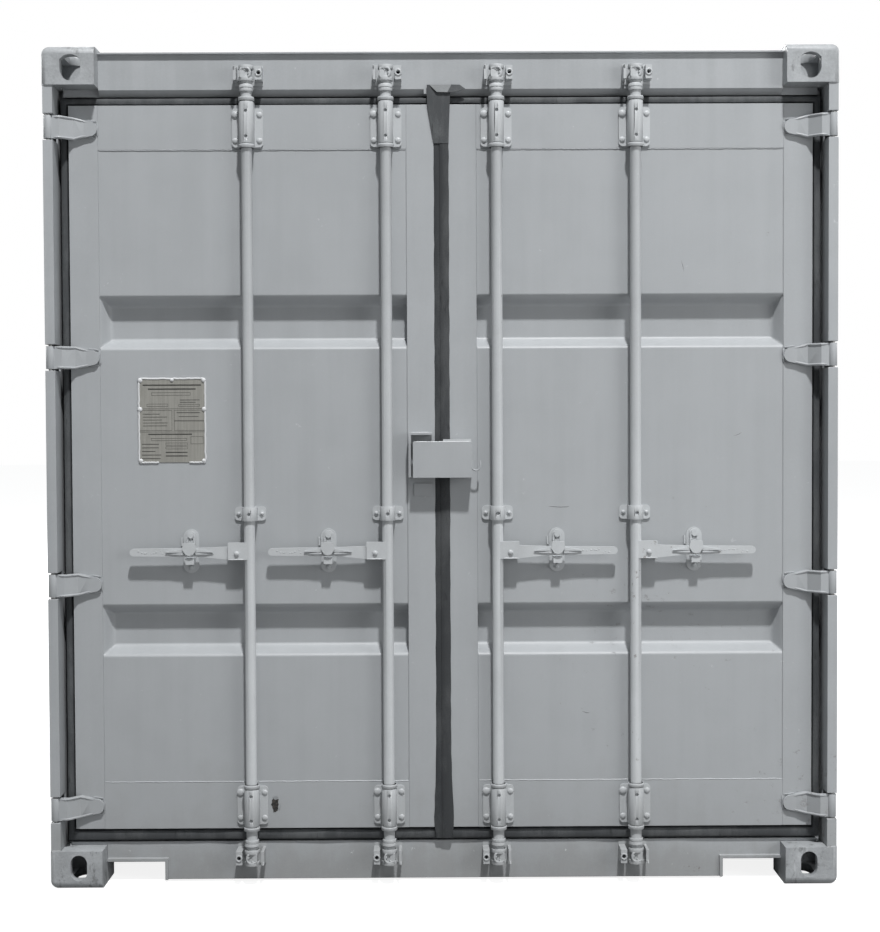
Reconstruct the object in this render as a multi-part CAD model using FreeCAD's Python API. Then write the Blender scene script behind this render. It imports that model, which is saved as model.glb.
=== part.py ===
import FreeCAD, Part
import math
import os

# A 20 ft dry freight container with a pair of doors at one end. Millimetres.
# The origin is the middle of the footprint on the ground, +Z is up and the doors face -Y.
# "Depth" is a distance inwards from an end plane of the corner castings.

os.makedirs("parts", exist_ok=True)
V = FreeCAD.Vector

# ---- overall sizes ---------------------------------------------------------------------------
LENGTH = 6058.0
WIDTH = 2438.0
HEIGHT = 2591.0

# ---- corner castings -------------------------------------------------------------------------
CASTING_LENGTH = 178.0
CASTING_WIDTH = 162.0
CASTING_HEIGHT = 118.0
CASTING_WALL = 26.0
CASTING_BACK_WALL = 12.0
CASTING_EDGE_RADIUS = 15.0
CASTING_SHOULDER_RADIUS = 24.0
SLOT_LENGTH = 124.0
SLOT_WIDTH = 63.5
APERTURE_FROM_SIDE = 89.0
APERTURE_FROM_END = 101.5
APERTURE_FROM_FACE = 66.0
OBLONG_WIDTH = 51.0
SHIELD_WIDTH = 64.0
HOLE_HEIGHT = 79.4

# ---- frame -----------------------------------------------------------------------------------
FRAME_INSET = 3.0
RAIL_INSET = 5.0
POST_WALL = 6.0
POST_FRONT = 4.0
POST_LIP_WIDTH = 30.0
POST_LIP_DEPTH = 30.0
POST_CHANNEL_STEP = 16.0
RECESS_DEPTH = 118.0
FRONT_POST_WIDTH = 96.0
ROOF_DROP = 11.0
HEADER_FACE = 60.0
HEADER_FACE_DROP = 17.0
HEADER_RETURN_DROP = 17.0
HEADER_BELOW_CASTING = 23.0
HEADER_RETURN = 24.0
HEADER_LIP_REACH = 11.0
HEADER_LIP_THICKNESS = 5.0
HEADER_WALL = 4.0
SILL_FACE = 78.0
SILL_BOTTOM = 8.0
SILL_STEP_RISE = 10.0
SILL_WALL = 6.0
NOTCH_WIDTH = 182.0
NOTCH_TOP = 66.0
NOTCH_LINER = 10.0
FRONT_BEAM_DEPTH = 60.0
FRONT_BEAM_DROP = 91.0
BEAM_WALL = 4.0
SHELF_THICKNESS = 3.0

# ---- rails, floor and base -------------------------------------------------------------------
TOP_RAIL = 60.0
TOP_RAIL_WALL = 3.0
BASE_RAIL_BOTTOM = 12.0
BASE_RAIL_TOP = 170.0
BASE_RAIL_WALL = 4.5
BASE_RAIL_TOP_FLANGE = 48.0
BASE_RAIL_LOWER_FLANGE = 30.0
FLOOR_THICKNESS = 28.0
FLOOR_TOP = 167.0
FLOOR_JOINT = 2.0
FLOOR_BOARD_ROWS = 5
MEMBER_BOTTOM = 17.0
MEMBER_FLANGE = 45.0
MEMBER_WALL = 4.0
MEMBER_PITCH = 300.0
POCKET_CENTRES = 2050.0
POCKET_WIDTH = 360.0
POCKET_WALL = 6.0

# ---- corrugated panels -----------------------------------------------------------------------
SIDE_SHEET = 1.6
SIDE_DEPTH = 36.0
SIDE_FLAT = 71.0
SIDE_SLOPE = 68.0
SIDE_PANEL_INSET = 7.0
FRONT_SHEET = 2.0
FRONT_DEPTH = 45.6
FRONT_FLAT = 107.0
FRONT_SLOPE = 18.0
FRONT_PANEL_INSET = 12.0
ROOF_SHEET = 2.0
ROOF_DEPTH = 20.0
ROOF_FLAT = 91.0
ROOF_SLOPE = 13.5
CORNER_PLATE_WIDTH = 300.0
CORNER_PLATE_LENGTH = 200.0
CORNER_PLATE_THICKNESS = 3.0
VENT_WIDTH = 60.0
VENT_HEIGHT = 250.0
VENT_DEPTH = 20.0
VENT_TOP_GAP = 60.0

# ---- door leaves -----------------------------------------------------------------------------
LEAF_FACE = HEADER_FACE
LEAF_THICKNESS = 50.0
LEAF_INNER_EDGE = 22.0
LEAF_EDGE_GAP = 20.0
LEAF_BOTTOM_GAP = 6.0
LEAF_TOP_GAP = 30.0
OUTER_STILE = 90.0
INNER_STILE = 86.0
TOP_DOOR_RAIL = 136.0
LOWER_DOOR_RAIL = 144.0
LEAF_WALL = 3.2
DOOR_SHEET = 2.0
DOOR_SHEET_RECESS = 2.0
TROUGH_DEPTH = 44.0
TROUGH_SLOPE = 25.0
UPPER_TROUGH = (1673.0, 1830.0)
LOWER_TROUGH = (718.0, 871.0)
GASKET_FRONT = 66.0
GASKET_CLEARANCE = 5.0
GASKET_SIDE_CLEARANCE = 9.0
GASKET_EDGE_CLEARANCE = 6.0
GASKET_CENTRE = 7.0

# ---- hinges ----------------------------------------------------------------------------------
HINGE_FROM_LEAF_END = 73.0
MIDDLE_HINGES = (940.0, 1643.0)
HINGE_INSET = 13.0
HINGE_DEPTH = 18.0
BARREL_RADIUS = 13.5
BARREL_HEIGHT = 70.0
BARREL_CLEARANCE = 5.0
HINGE_GAP_DEPTH = 76.0
PIN_RADIUS = 6.0
PIN_CLEARANCE = 0.1
BLADE_THICKNESS = 12.0
BLADE_END_HEIGHT = 46.0
BLADE_REACH = 90.0

# ---- lock rods, cams and keepers -------------------------------------------------------------
INNER_ROD_X = 170.0
OUTER_ROD_X = 597.0
ROD_RADIUS = 17.0
ROD_DEPTH = 28.0
ROD_DROP = 58.0
ROD_BOTTOM = 66.0
ROD_CLEARANCE = 0.3
COLLAR_RADIUS = 24.0
COLLAR_HEIGHT = 12.0
COLLAR_GAP = 2.0
FLANGE_RADIUS = 21.0
FLANGE_HEIGHT = 10.0
FLANGE_BELOW_CAM = 19.0
CAM_HEIGHT = 60.0
CAM_RADIUS = 23.0
CAM_FORK_THICKNESS = 12.0
CAM_BLOCK = 31.0
KEEPER_PLATE = 3.0
KEEPER_LEFT = 38.0
KEEPER_RIGHT = 49.0
KEEPER_GAP = 29.5
KEEPER_HEIGHT = 62.0
KEEPER_LUG_HEIGHT = 42.0
KEEPER_FRONT = 12.0
KEEPER_HOLE_RADIUS = 6.0

# ---- rod guides ------------------------------------------------------------------------------
SLEEVE_WALL = 5.7
GUIDE_WIDTH = 96.0
GUIDE_HEIGHT = 120.0
GUIDE_PLATE = 6.0
GUIDE_CORNER = 12.0
UPPER_GUIDE_DROP = 71.0
UPPER_SLEEVE_SPAN = (-53.0, 74.0)
LOWER_GUIDE_RISE = 73.5
LOWER_SLEEVE_SPAN = (-58.5, 57.5)
MIDDLE_GUIDE_Z = 1158.0
MIDDLE_GUIDE_HEIGHT = 43.0
GREASE_HOLE_RADIUS = 5.0
GREASE_HOLE_INSET = 30.0
LOWER_HOLE_INSET = 20.0

# ---- handles, hubs, retainers and catches ----------------------------------------------------
HANDLE_PIVOT_REACH = 22.0
HANDLE_PIVOT_Z = 1037.0
HANDLE_PIVOT_RADIUS = 8.0
HANDLE_PIVOT_CLEARANCE = 0.15
HANDLE_THICKNESS = 12.0
HANDLE_FRONT = 20.0
HANDLE_HEEL_RADIUS = 20.0
HANDLE_LENGTH = 370.0
HANDLE_TIP_RADIUS = 11.5
HANDLE_TIP_Z = 1041.0
HUB_REACH = 66.0
HUB_BOTTOM = 1017.0
HUB_TOP = 1070.0
HUB_CHEEK = 6.5
HUB_SLOT_CLEARANCE = 1.5
HUB_SLOT_GAP = 1.0
RIVET_HEAD = 3.0
RIB_LENGTH = 146.0
RIB_RISE = 6.0
RETAINER_X = 185.0
RETAINER_WIDTH = 48.0
RETAINER_BOTTOM = 974.0
RETAINER_TOP = 1110.0
RETAINER_PLATE = 5.0
SHELF_WIDTH = 27.0
SHELF_BOTTOM = 1003.0
SHELF_CLEARANCE = 5.0
CATCH_PIVOT_Z = 1091.0
CATCH_PIN_RADIUS = 5.0
CATCH_HEAD_RADIUS = 9.0
CATCH_WIDTH = 28.0
CATCH_THICKNESS = 6.0
CATCH_CLEARANCE = 1.5
CATCH_BOTTOM = 1056.0
LOWER_RIVET_Z = 991.0
LOWER_RIVET_RADIUS = 8.0

# ---- lock box, its bracket and the data plate ------------------------------------------------
BOX_LEFT = -91.0
BOX_RIGHT = 90.0
BOX_BOTTOM = 1269.0
BOX_TOP = 1379.0
BOX_WALL = 6.0
BOX_SHALLOW = 24.0
HOOK_WIRE_RADIUS = 2.5
HOOK_RADIUS = 13.0
HOOK_TOP = 1320.0
HOOK_BOTTOM = 1290.0
BRACKET_LEFT = -105.0
BRACKET_RIGHT = -32.0
BRACKET_TOP = 1408.0
BRACKET_WALL = 8.0
BRACKET_FRONT = 16.0
PAD_LEFT = -89.0
PAD_RIGHT = -30.0
PAD_BOTTOM = 1210.0
PAD_TOP = 1250.0
PAD_THICKNESS = 4.0
PLATE_LEFT = -941.0
PLATE_RIGHT = -736.0
PLATE_BOTTOM = 1318.0
PLATE_TOP = 1578.0
PLATE_THICKNESS = 2.0

# ---- places that follow from the sizes above -------------------------------------------------
DOOR_END = -LENGTH / 2
FRONT_END = LENGTH / 2
HALF_WIDTH = WIDTH / 2
BAY_START = DOOR_END + CASTING_LENGTH
BAY_END = FRONT_END - CASTING_LENGTH
CASTING_INNER = HALF_WIDTH - CASTING_WIDTH
SILL_STEP_TOP = CASTING_HEIGHT + SILL_STEP_RISE
TOP_CASTING_BOTTOM = HEIGHT - CASTING_HEIGHT
HEADER_FACE_TOP = HEIGHT - HEADER_FACE_DROP
HEADER_BOTTOM = TOP_CASTING_BOTTOM - HEADER_BELOW_CASTING
HEADER_FACE_BOTTOM = HEADER_BOTTOM + HEADER_RETURN_DROP
FRONT_BEAM_BOTTOM = HEIGHT - FRONT_BEAM_DROP
LEAF_BOTTOM = FLOOR_TOP + LEAF_BOTTOM_GAP
LEAF_TOP = HEADER_BOTTOM - LEAF_TOP_GAP
HINGE_HEIGHTS = (LEAF_BOTTOM + HINGE_FROM_LEAF_END,) + MIDDLE_HINGES + (LEAF_TOP - HINGE_FROM_LEAF_END,)
ROD_TOP = HEIGHT - ROD_DROP
UPPER_GUIDE_Z = LEAF_TOP - UPPER_GUIDE_DROP
UPPER_SLEEVE = tuple(UPPER_GUIDE_Z + way for way in UPPER_SLEEVE_SPAN)
LOWER_GUIDE_Z = LEAF_BOTTOM + LOWER_GUIDE_RISE
LOWER_SLEEVE = tuple(LOWER_GUIDE_Z + way for way in LOWER_SLEEVE_SPAN)
FRAME_SIDE = HALF_WIDTH - FRAME_INSET
POST_LIP_INNER = FRAME_SIDE - POST_LIP_WIDTH
POST_INNER = POST_LIP_INNER - POST_CHANNEL_STEP
LEAF_OUTER_EDGE = POST_INNER - LEAF_EDGE_GAP
FRONT_POST_INNER = FRAME_SIDE - FRONT_POST_WIDTH
RAIL_SIDE = HALF_WIDTH - RAIL_INSET
TOP_RAIL_INNER = RAIL_SIDE - TOP_RAIL
ROOF_TOP = HEIGHT - ROOF_DROP
TOP_RAIL_BOTTOM = ROOF_TOP - TOP_RAIL
PANEL_SIDE = HALF_WIDTH - SIDE_PANEL_INSET
FLOOR_BOTTOM = FLOOR_TOP - FLOOR_THICKNESS
LEAF_BACK = LEAF_FACE + LEAF_THICKNESS
PANEL_FACE = LEAF_FACE + DOOR_SHEET_RECESS
GASKET_BACK = RECESS_DEPTH - GASKET_CLEARANCE
HINGE_X = FRAME_SIDE - HINGE_INSET
SLEEVE_RADIUS = ROD_RADIUS + ROD_CLEARANCE + SLEEVE_WALL
HUB_SLOT_START = ROD_RADIUS + HUB_SLOT_GAP
HANDLE_PIVOT_X = ROD_RADIUS + HANDLE_PIVOT_REACH
HANDLE_BACK = HANDLE_FRONT + HANDLE_THICKNESS


def door_y(depth):
    return DOOR_END + depth


def front_y(depth):
    return FRONT_END - depth


def box(x0, x1, y0, y1, z0, z1):
    return Part.makeBox(x1 - x0, y1 - y0, z1 - z0, V(x0, y0, z0))


def door_box(x0, x1, d0, d1, z0, z1):
    """A block at the door end, placed by its depths."""
    return box(x0, x1, door_y(d0), door_y(d1), z0, z1)


def prism(points, way):
    """A flat outline of (x, y, z) points swept along a vector."""
    wire = Part.makePolygon([V(*p) for p in points + points[:1]])
    return Part.Face(wire).extrude(V(*way))


def prism_x(outline, x0, x1):
    """An outline of (depth, z) points at the door end, swept from x0 to x1."""
    return prism([(x0, door_y(d), z) for d, z in outline], (x1 - x0, 0, 0))


def prism_z(outline, z0, z1):
    """A plan outline of (x, depth) points at the door end, swept from z0 to z1."""
    return prism([(x, door_y(d), z0) for x, d in outline], (0, 0, z1 - z0))


def prism_y(outline, d0, d1):
    """An elevation outline of (x, z) points, swept between two depths at the door end."""
    return prism([(x, door_y(d0), z) for x, z in outline], (0, d1 - d0, 0))


def disc_y(x, z, radius, d0, d1):
    return Part.makeCylinder(radius, d1 - d0, V(x, door_y(d0), z), V(0, 1, 0))


def column(x, depth, radius, z0, z1):
    return Part.makeCylinder(radius, z1 - z0, V(x, door_y(depth), z0), V(0, 0, 1))


def fused(*shapes):
    first = shapes[0]
    return first.fuse(list(shapes[1:])).removeSplitter()


def flip_x(shape):
    return shape.mirror(V(0, 0, 0), V(1, 0, 0))


def flip_y(shape):
    return shape.mirror(V(0, 0, 0), V(0, 1, 0))


def write(name, *shapes):
    """Write one node: all its solids in one STEP file."""
    solids = [solid for shape in shapes for solid in shape.Solids]
    for solid in solids:
        if not solid.isValid():
            raise ValueError("bad solid in " + name)
    Part.makeCompound(solids).exportStep("parts/" + name + ".step")


def wave(start, end, flat, slope, depth, sheet):
    """Outline of a corrugated sheet: (along, inward) points, out along the outer face and back.

    It begins and ends on an outer flat, and each bend of the inner face is moved along so
    that the slopes keep the sheet's thickness.
    """
    pitch = 2 * (flat + slope)
    count = int((end - start - flat) // pitch)
    margin = (end - start - count * pitch) / 2 + flat / 2
    shift = sheet * math.tan(math.atan2(depth, slope) / 2)
    outer = [(start, 0.0)]
    inner = [(start, sheet)]
    for step in range(count):
        down = start + margin + step * pitch
        up = down + slope + flat
        outer += [(down, 0.0), (down + slope, depth - sheet)]
        outer += [(up, depth - sheet), (up + slope, 0.0)]
        inner += [(down - shift, sheet), (down + slope - shift, depth)]
        inner += [(up + shift, depth), (up + slope + shift, sheet)]
    outer.append((end, 0.0))
    inner.append((end, sheet))
    return outer + inner[::-1]


# ---- corner castings -------------------------------------------------------------------------
def oblong_hole(x, z, width, height, d0, d1):
    straight = (height - width) / 2
    middle = door_box(x - width / 2, x + width / 2, d0, d1, z - straight, z + straight)
    ends = [disc_y(x, z + side * straight, width / 2, d0, d1) for side in (-1, 1)]
    return fused(middle, *ends)


def shield_hole(x, z, width, height, d0, d1):
    """A hole with a shallow arc on top and a half round foot."""
    half = width / 2
    shoulder = z + height / 2 - width / 4
    foot = z - height / 2 + half
    y = door_y(d0)
    edges = [
        Part.LineSegment(V(x - half, y, foot), V(x - half, y, shoulder)).toShape(),
        Part.Arc(V(x - half, y, shoulder), V(x, y, z + height / 2), V(x + half, y, shoulder)).toShape(),
        Part.LineSegment(V(x + half, y, shoulder), V(x + half, y, foot)).toShape(),
        Part.Arc(V(x + half, y, foot), V(x, y, z - height / 2), V(x - half, y, foot)).toShape(),
    ]
    return Part.Face(Part.Wire(edges)).extrude(V(0, d1 - d0, 0))


def casting(is_top):
    """The right-hand casting at the door end, hollow, with its three apertures."""
    z0 = TOP_CASTING_BOTTOM if is_top else 0.0
    z1 = z0 + CASTING_HEIGHT
    body = door_box(CASTING_INNER, HALF_WIDTH, 0, CASTING_LENGTH, z0, z1)
    corner = [e for e in body.Edges if abs(e.CenterOfMass.x - HALF_WIDTH) < 1e-6
              and abs(e.CenterOfMass.y - DOOR_END) < 1e-6]
    body = body.makeFillet(CASTING_EDGE_RADIUS, corner)
    outer_z = z1 if is_top else z0
    shoulder = [e for e in body.Edges if abs(e.CenterOfMass.x - HALF_WIDTH) < 1e-6
                and abs(e.CenterOfMass.z - outer_z) < 1e-6]
    body = body.makeFillet(CASTING_SHOULDER_RADIUS, shoulder)
    floor_wall = CASTING_BACK_WALL if is_top else CASTING_WALL
    roof_wall = CASTING_WALL if is_top else CASTING_BACK_WALL
    hollow = door_box(CASTING_INNER + CASTING_BACK_WALL, HALF_WIDTH - CASTING_WALL, CASTING_WALL,
                      CASTING_LENGTH - CASTING_BACK_WALL, z0 + floor_wall, z1 - roof_wall)
    hole_z = z1 - APERTURE_FROM_FACE if is_top else z0 + APERTURE_FROM_FACE
    end_x = HALF_WIDTH - APERTURE_FROM_SIDE
    make_hole = shield_hole if is_top else oblong_hole
    hole_width = SHIELD_WIDTH if is_top else OBLONG_WIDTH
    end_hole = make_hole(end_x, hole_z, hole_width, HOLE_HEIGHT, -1, CASTING_WALL + 1)
    side_hole = make_hole(0, hole_z, hole_width, HOLE_HEIGHT, -1, CASTING_WALL + 1)
    side_hole.rotate(V(0, door_y(0), 0), V(0, 0, 1), 90)
    side_hole.translate(V(HALF_WIDTH, APERTURE_FROM_END, 0))
    slot_z0 = z1 - CASTING_WALL - 1 if is_top else z0 - 1
    slot_y = door_y(APERTURE_FROM_END)
    straight = (SLOT_LENGTH - SLOT_WIDTH) / 2
    slot_parts = [box(end_x - SLOT_WIDTH / 2, end_x + SLOT_WIDTH / 2, slot_y - straight,
                      slot_y + straight, slot_z0, slot_z0 + CASTING_WALL + 2)]
    for side in (-1, 1):
        slot_parts.append(column(end_x, APERTURE_FROM_END + side * straight, SLOT_WIDTH / 2,
                                 slot_z0, slot_z0 + CASTING_WALL + 2))
    return body.cut([hollow, end_hole, side_hole, fused(*slot_parts)])


def four_corners(shape):
    pair = [shape, flip_x(shape)]
    return pair + [flip_y(one) for one in pair]


# ---- frame -----------------------------------------------------------------------------------
def rear_post():
    """The right rear post: a lip that carries the hinge pins and a channel behind the seal."""
    outer = [(POST_LIP_INNER, POST_FRONT), (FRAME_SIDE, POST_FRONT), (FRAME_SIDE, CASTING_LENGTH),
             (POST_INNER, CASTING_LENGTH), (POST_INNER, RECESS_DEPTH), (POST_LIP_INNER, RECESS_DEPTH)]
    lip_back = POST_FRONT + POST_LIP_DEPTH
    side = FRAME_SIDE - POST_WALL
    inner = [(POST_LIP_INNER + POST_WALL, lip_back), (side, lip_back),
             (side, CASTING_LENGTH - POST_WALL), (POST_INNER + POST_WALL, CASTING_LENGTH - POST_WALL),
             (POST_INNER + POST_WALL, RECESS_DEPTH + POST_WALL),
             (POST_LIP_INNER + POST_WALL, RECESS_DEPTH + POST_WALL)]
    post = prism_z(outer, CASTING_HEIGHT, TOP_CASTING_BOTTOM)
    post = post.cut(prism_z(inner, CASTING_HEIGHT - 1, TOP_CASTING_BOTTOM + 1))
    reach = BARREL_HEIGHT / 2 + BARREL_CLEARANCE
    gaps = [door_box(POST_LIP_INNER - 1, FRAME_SIDE + 1, 0, HINGE_GAP_DEPTH, z - reach, z + reach)
            for z in HINGE_HEIGHTS]
    return post.cut(gaps)


def hinge_pins():
    reach = BARREL_HEIGHT / 2 + BARREL_CLEARANCE
    return [column(HINGE_X, HINGE_DEPTH, PIN_RADIUS, z - reach, z + reach) for z in HINGE_HEIGHTS]


def front_post():
    outer = box(FRONT_POST_INNER, FRAME_SIDE, BAY_END, front_y(POST_FRONT), CASTING_HEIGHT,
                TOP_CASTING_BOTTOM)
    inner = box(FRONT_POST_INNER + POST_WALL, FRAME_SIDE - POST_WALL, BAY_END + POST_WALL,
                front_y(POST_FRONT + POST_WALL), CASTING_HEIGHT - 1, TOP_CASTING_BOTTOM + 1)
    return outer.cut(inner)


def door_header():
    """The beam over the doors: a flush face, a slanting return above the seal and a small lip on top."""
    lip = HEADER_FACE - HEADER_LIP_REACH
    wall = HEADER_WALL
    back = CASTING_LENGTH
    outer = [(HEADER_FACE, HEADER_FACE_BOTTOM), (HEADER_FACE, HEADER_FACE_TOP),
             (lip, ROOF_TOP - HEADER_LIP_THICKNESS), (lip, ROOF_TOP), (back, ROOF_TOP),
             (back, HEADER_BOTTOM), (HEADER_FACE + HEADER_RETURN, HEADER_BOTTOM)]
    inner = [(HEADER_FACE + wall, HEADER_FACE_BOTTOM + wall / 2), (HEADER_FACE + wall, ROOF_TOP - wall),
             (back - wall, ROOF_TOP - wall), (back - wall, HEADER_BOTTOM + wall),
             (HEADER_FACE + HEADER_RETURN + wall / 2, HEADER_BOTTOM + wall)]
    beam = prism_x(outer, -CASTING_INNER, CASTING_INNER)
    beam = beam.cut(prism_x(inner, -CASTING_INNER, CASTING_INNER))
    seat = HEADER_FACE + HEADER_RETURN
    ends = []
    for side in (0, 1):
        x0 = CASTING_INNER if side else -POST_INNER
        x1 = POST_INNER if side else -CASTING_INNER
        block = door_box(x0, x1, seat, back, HEADER_BOTTOM, TOP_CASTING_BOTTOM)
        ends.append(block.cut(door_box(x0, x1, seat + wall, back - wall, HEADER_BOTTOM + wall,
                                       TOP_CASTING_BOTTOM - wall)))
    return fused(beam, *ends)


def door_sill():
    """The beam under the doors: a step for the seal, a threshold and a notch at each end."""
    wall = SILL_WALL
    back = CASTING_LENGTH
    lower = [(SILL_FACE, SILL_BOTTOM), (SILL_FACE, CASTING_HEIGHT), (back, CASTING_HEIGHT),
             (back, SILL_BOTTOM)]
    upper = [(SILL_FACE, CASTING_HEIGHT), (SILL_FACE, SILL_STEP_TOP), (RECESS_DEPTH, SILL_STEP_TOP),
             (RECESS_DEPTH, FLOOR_TOP), (back, FLOOR_TOP), (back, CASTING_HEIGHT)]
    lower_hollow = [(SILL_FACE + wall, SILL_BOTTOM + wall), (SILL_FACE + wall, SILL_STEP_TOP - wall),
                    (RECESS_DEPTH + wall, SILL_STEP_TOP - wall), (RECESS_DEPTH + wall, FLOOR_TOP - wall),
                    (back - wall, FLOOR_TOP - wall), (back - wall, SILL_BOTTOM + wall)]
    beam = fused(prism_x(lower, -CASTING_INNER, CASTING_INNER), prism_x(upper, -POST_INNER, POST_INNER))
    beam = beam.cut(prism_x(lower_hollow, -CASTING_INNER, CASTING_INNER))
    liners = []
    for side in (-1, 1):
        x0, x1 = sorted((side * (CASTING_INNER - NOTCH_WIDTH), side * CASTING_INNER))
        beam = beam.cut(door_box(x0, x1, 0, back + 1, 0, NOTCH_TOP))
        side_x0, side_x1 = sorted((side * (CASTING_INNER - NOTCH_WIDTH - NOTCH_LINER),
                                   side * (CASTING_INNER - NOTCH_WIDTH)))
        front = SILL_FACE - NOTCH_LINER
        liners.append(door_box(min(x0, side_x0), max(x1, side_x1), front, back, NOTCH_TOP,
                               NOTCH_TOP + NOTCH_LINER))
        liners.append(door_box(side_x0, side_x1, front, back, SILL_BOTTOM, NOTCH_TOP))
    return fused(beam, *liners)


def front_header():
    d0 = POST_FRONT
    d1 = POST_FRONT + FRONT_BEAM_DEPTH
    tube = box(-CASTING_INNER, CASTING_INNER, front_y(d1), front_y(d0), FRONT_BEAM_BOTTOM, ROOF_TOP)
    tube = tube.cut(box(-CASTING_INNER, CASTING_INNER, front_y(d1 - BEAM_WALL), front_y(d0 + BEAM_WALL),
                        FRONT_BEAM_BOTTOM + BEAM_WALL, ROOF_TOP - BEAM_WALL))
    ledge = box(-FRONT_POST_INNER, FRONT_POST_INNER, front_y(d1), front_y(d0), FRONT_BEAM_BOTTOM,
                FRONT_BEAM_BOTTOM + BEAM_WALL)
    ledge = ledge.common(box(-CASTING_INNER, CASTING_INNER, BAY_END, FRONT_END, 0, HEIGHT))
    shelf = box(-CASTING_INNER, CASTING_INNER, BAY_END, front_y(d1), ROOF_TOP - SHELF_THICKNESS, ROOF_TOP)
    return fused(tube, ledge, shelf)


def front_sill():
    d0 = POST_FRONT
    d1 = POST_FRONT + FRONT_BEAM_DEPTH
    lower = box(-CASTING_INNER, CASTING_INNER, front_y(d1), front_y(d0), SILL_BOTTOM, CASTING_HEIGHT)
    upper = box(-FRONT_POST_INNER, FRONT_POST_INNER, front_y(d1), front_y(d0), CASTING_HEIGHT, FLOOR_TOP)
    hollow = box(-CASTING_INNER, CASTING_INNER, front_y(d1 - BEAM_WALL), front_y(d0 + BEAM_WALL),
                 SILL_BOTTOM + BEAM_WALL, FLOOR_TOP - BEAM_WALL)
    shelf = box(-FRONT_POST_INNER, FRONT_POST_INNER, BAY_END, front_y(d1),
                FLOOR_TOP - 2 * SHELF_THICKNESS, FLOOR_TOP)
    return fused(fused(lower, upper).cut(hollow), shelf)


# ---- rails, base and floor -------------------------------------------------------------------
def top_rail():
    outer = box(TOP_RAIL_INNER, RAIL_SIDE, BAY_START, BAY_END, TOP_RAIL_BOTTOM, ROOF_TOP)
    wall = TOP_RAIL_WALL
    inner = box(TOP_RAIL_INNER + wall, RAIL_SIDE - wall, BAY_START, BAY_END, TOP_RAIL_BOTTOM + wall,
                ROOF_TOP - wall)
    return outer.cut(inner)


def pocket_span(side):
    """The outside of a fork pocket along Y."""
    middle = side * POCKET_CENTRES / 2
    half = POCKET_WIDTH / 2 + POCKET_WALL
    return middle - half, middle + half


def base_rail():
    """A channel with its back outwards, cut through where the fork pockets pass."""
    web = box(RAIL_SIDE - BASE_RAIL_WALL, RAIL_SIDE, BAY_START, BAY_END, BASE_RAIL_BOTTOM, BASE_RAIL_TOP)
    top = box(RAIL_SIDE - BASE_RAIL_TOP_FLANGE, RAIL_SIDE, BAY_START, BAY_END,
              BASE_RAIL_TOP - BASE_RAIL_WALL, BASE_RAIL_TOP)
    foot = box(RAIL_SIDE - BASE_RAIL_LOWER_FLANGE, RAIL_SIDE, BAY_START, BAY_END, BASE_RAIL_BOTTOM,
               BASE_RAIL_BOTTOM + BASE_RAIL_WALL)
    rail = fused(web, top, foot)
    for side in (-1, 1):
        y0, y1 = pocket_span(side)
        rail = rail.cut(box(0, HALF_WIDTH, y0, y1, 0, FLOOR_BOTTOM))
    return rail


def fork_pocket(side):
    y0, y1 = pocket_span(side)
    wall = POCKET_WALL
    outer = box(-RAIL_SIDE, RAIL_SIDE, y0, y1, BASE_RAIL_BOTTOM, FLOOR_BOTTOM)
    return outer.cut(box(-RAIL_SIDE, RAIL_SIDE, y0 + wall, y1 - wall, BASE_RAIL_BOTTOM + wall,
                         FLOOR_BOTTOM - wall))


def cross_members():
    """C sections between the base rails, at even spacing wherever no fork pocket is in the way."""
    reach = RAIL_SIDE - BASE_RAIL_WALL
    count = int((BAY_END - BAY_START - MEMBER_FLANGE) // MEMBER_PITCH)
    spacing = (BAY_END - BAY_START - MEMBER_FLANGE) / (count + 1)
    members = []
    for step in range(1, count + 1):
        y0 = BAY_START + step * spacing
        y1 = y0 + MEMBER_FLANGE
        blocked = any(y1 > pocket_span(side)[0] - MEMBER_WALL and y0 < pocket_span(side)[1] + MEMBER_WALL
                      for side in (-1, 1))
        if blocked:
            continue
        outer = box(-reach, reach, y0, y1, MEMBER_BOTTOM, FLOOR_BOTTOM)
        members.append(outer.cut(box(-reach, reach, y0 + MEMBER_WALL, y1, MEMBER_BOTTOM + MEMBER_WALL,
                                     FLOOR_BOTTOM - MEMBER_WALL)))
    return members


def floor_boards():
    """Plywood boards in two columns, with a sealed joint between neighbours."""
    half = RAIL_SIDE - BASE_RAIL_TOP_FLANGE - FLOOR_JOINT
    row = (BAY_END - BAY_START) / FLOOR_BOARD_ROWS
    boards = []
    for step in range(FLOOR_BOARD_ROWS):
        y0 = BAY_START + step * row
        y1 = y0 + row - FLOOR_JOINT
        boards.append(box(FLOOR_JOINT / 2, half, y0, y1, FLOOR_BOTTOM, FLOOR_TOP))
        boards.append(box(-half, -FLOOR_JOINT / 2, y0, y1, FLOOR_BOTTOM, FLOOR_TOP))
    return boards


# ---- panels ----------------------------------------------------------------------------------
def side_panel():
    outline = wave(BAY_START, BAY_END, SIDE_FLAT, SIDE_SLOPE, SIDE_DEPTH, SIDE_SHEET)
    points = [(PANEL_SIDE - inward, along, BASE_RAIL_TOP) for along, inward in outline]
    return prism(points, (0, 0, TOP_RAIL_BOTTOM - BASE_RAIL_TOP))


def front_panel():
    outline = wave(-FRONT_POST_INNER, FRONT_POST_INNER, FRONT_FLAT, FRONT_SLOPE, FRONT_DEPTH, FRONT_SHEET)
    points = [(along, front_y(FRONT_PANEL_INSET + inward), FLOOR_TOP) for along, inward in outline]
    panel = prism(points, (0, 0, FRONT_BEAM_BOTTOM - FLOOR_TOP))
    corners = [box(min(x, side), max(x, side), BAY_END, FRONT_END, TOP_CASTING_BOTTOM, HEIGHT)
               for x, side in ((CASTING_INNER, HALF_WIDTH), (-CASTING_INNER, -HALF_WIDTH))]
    return panel.cut(corners)


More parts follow.
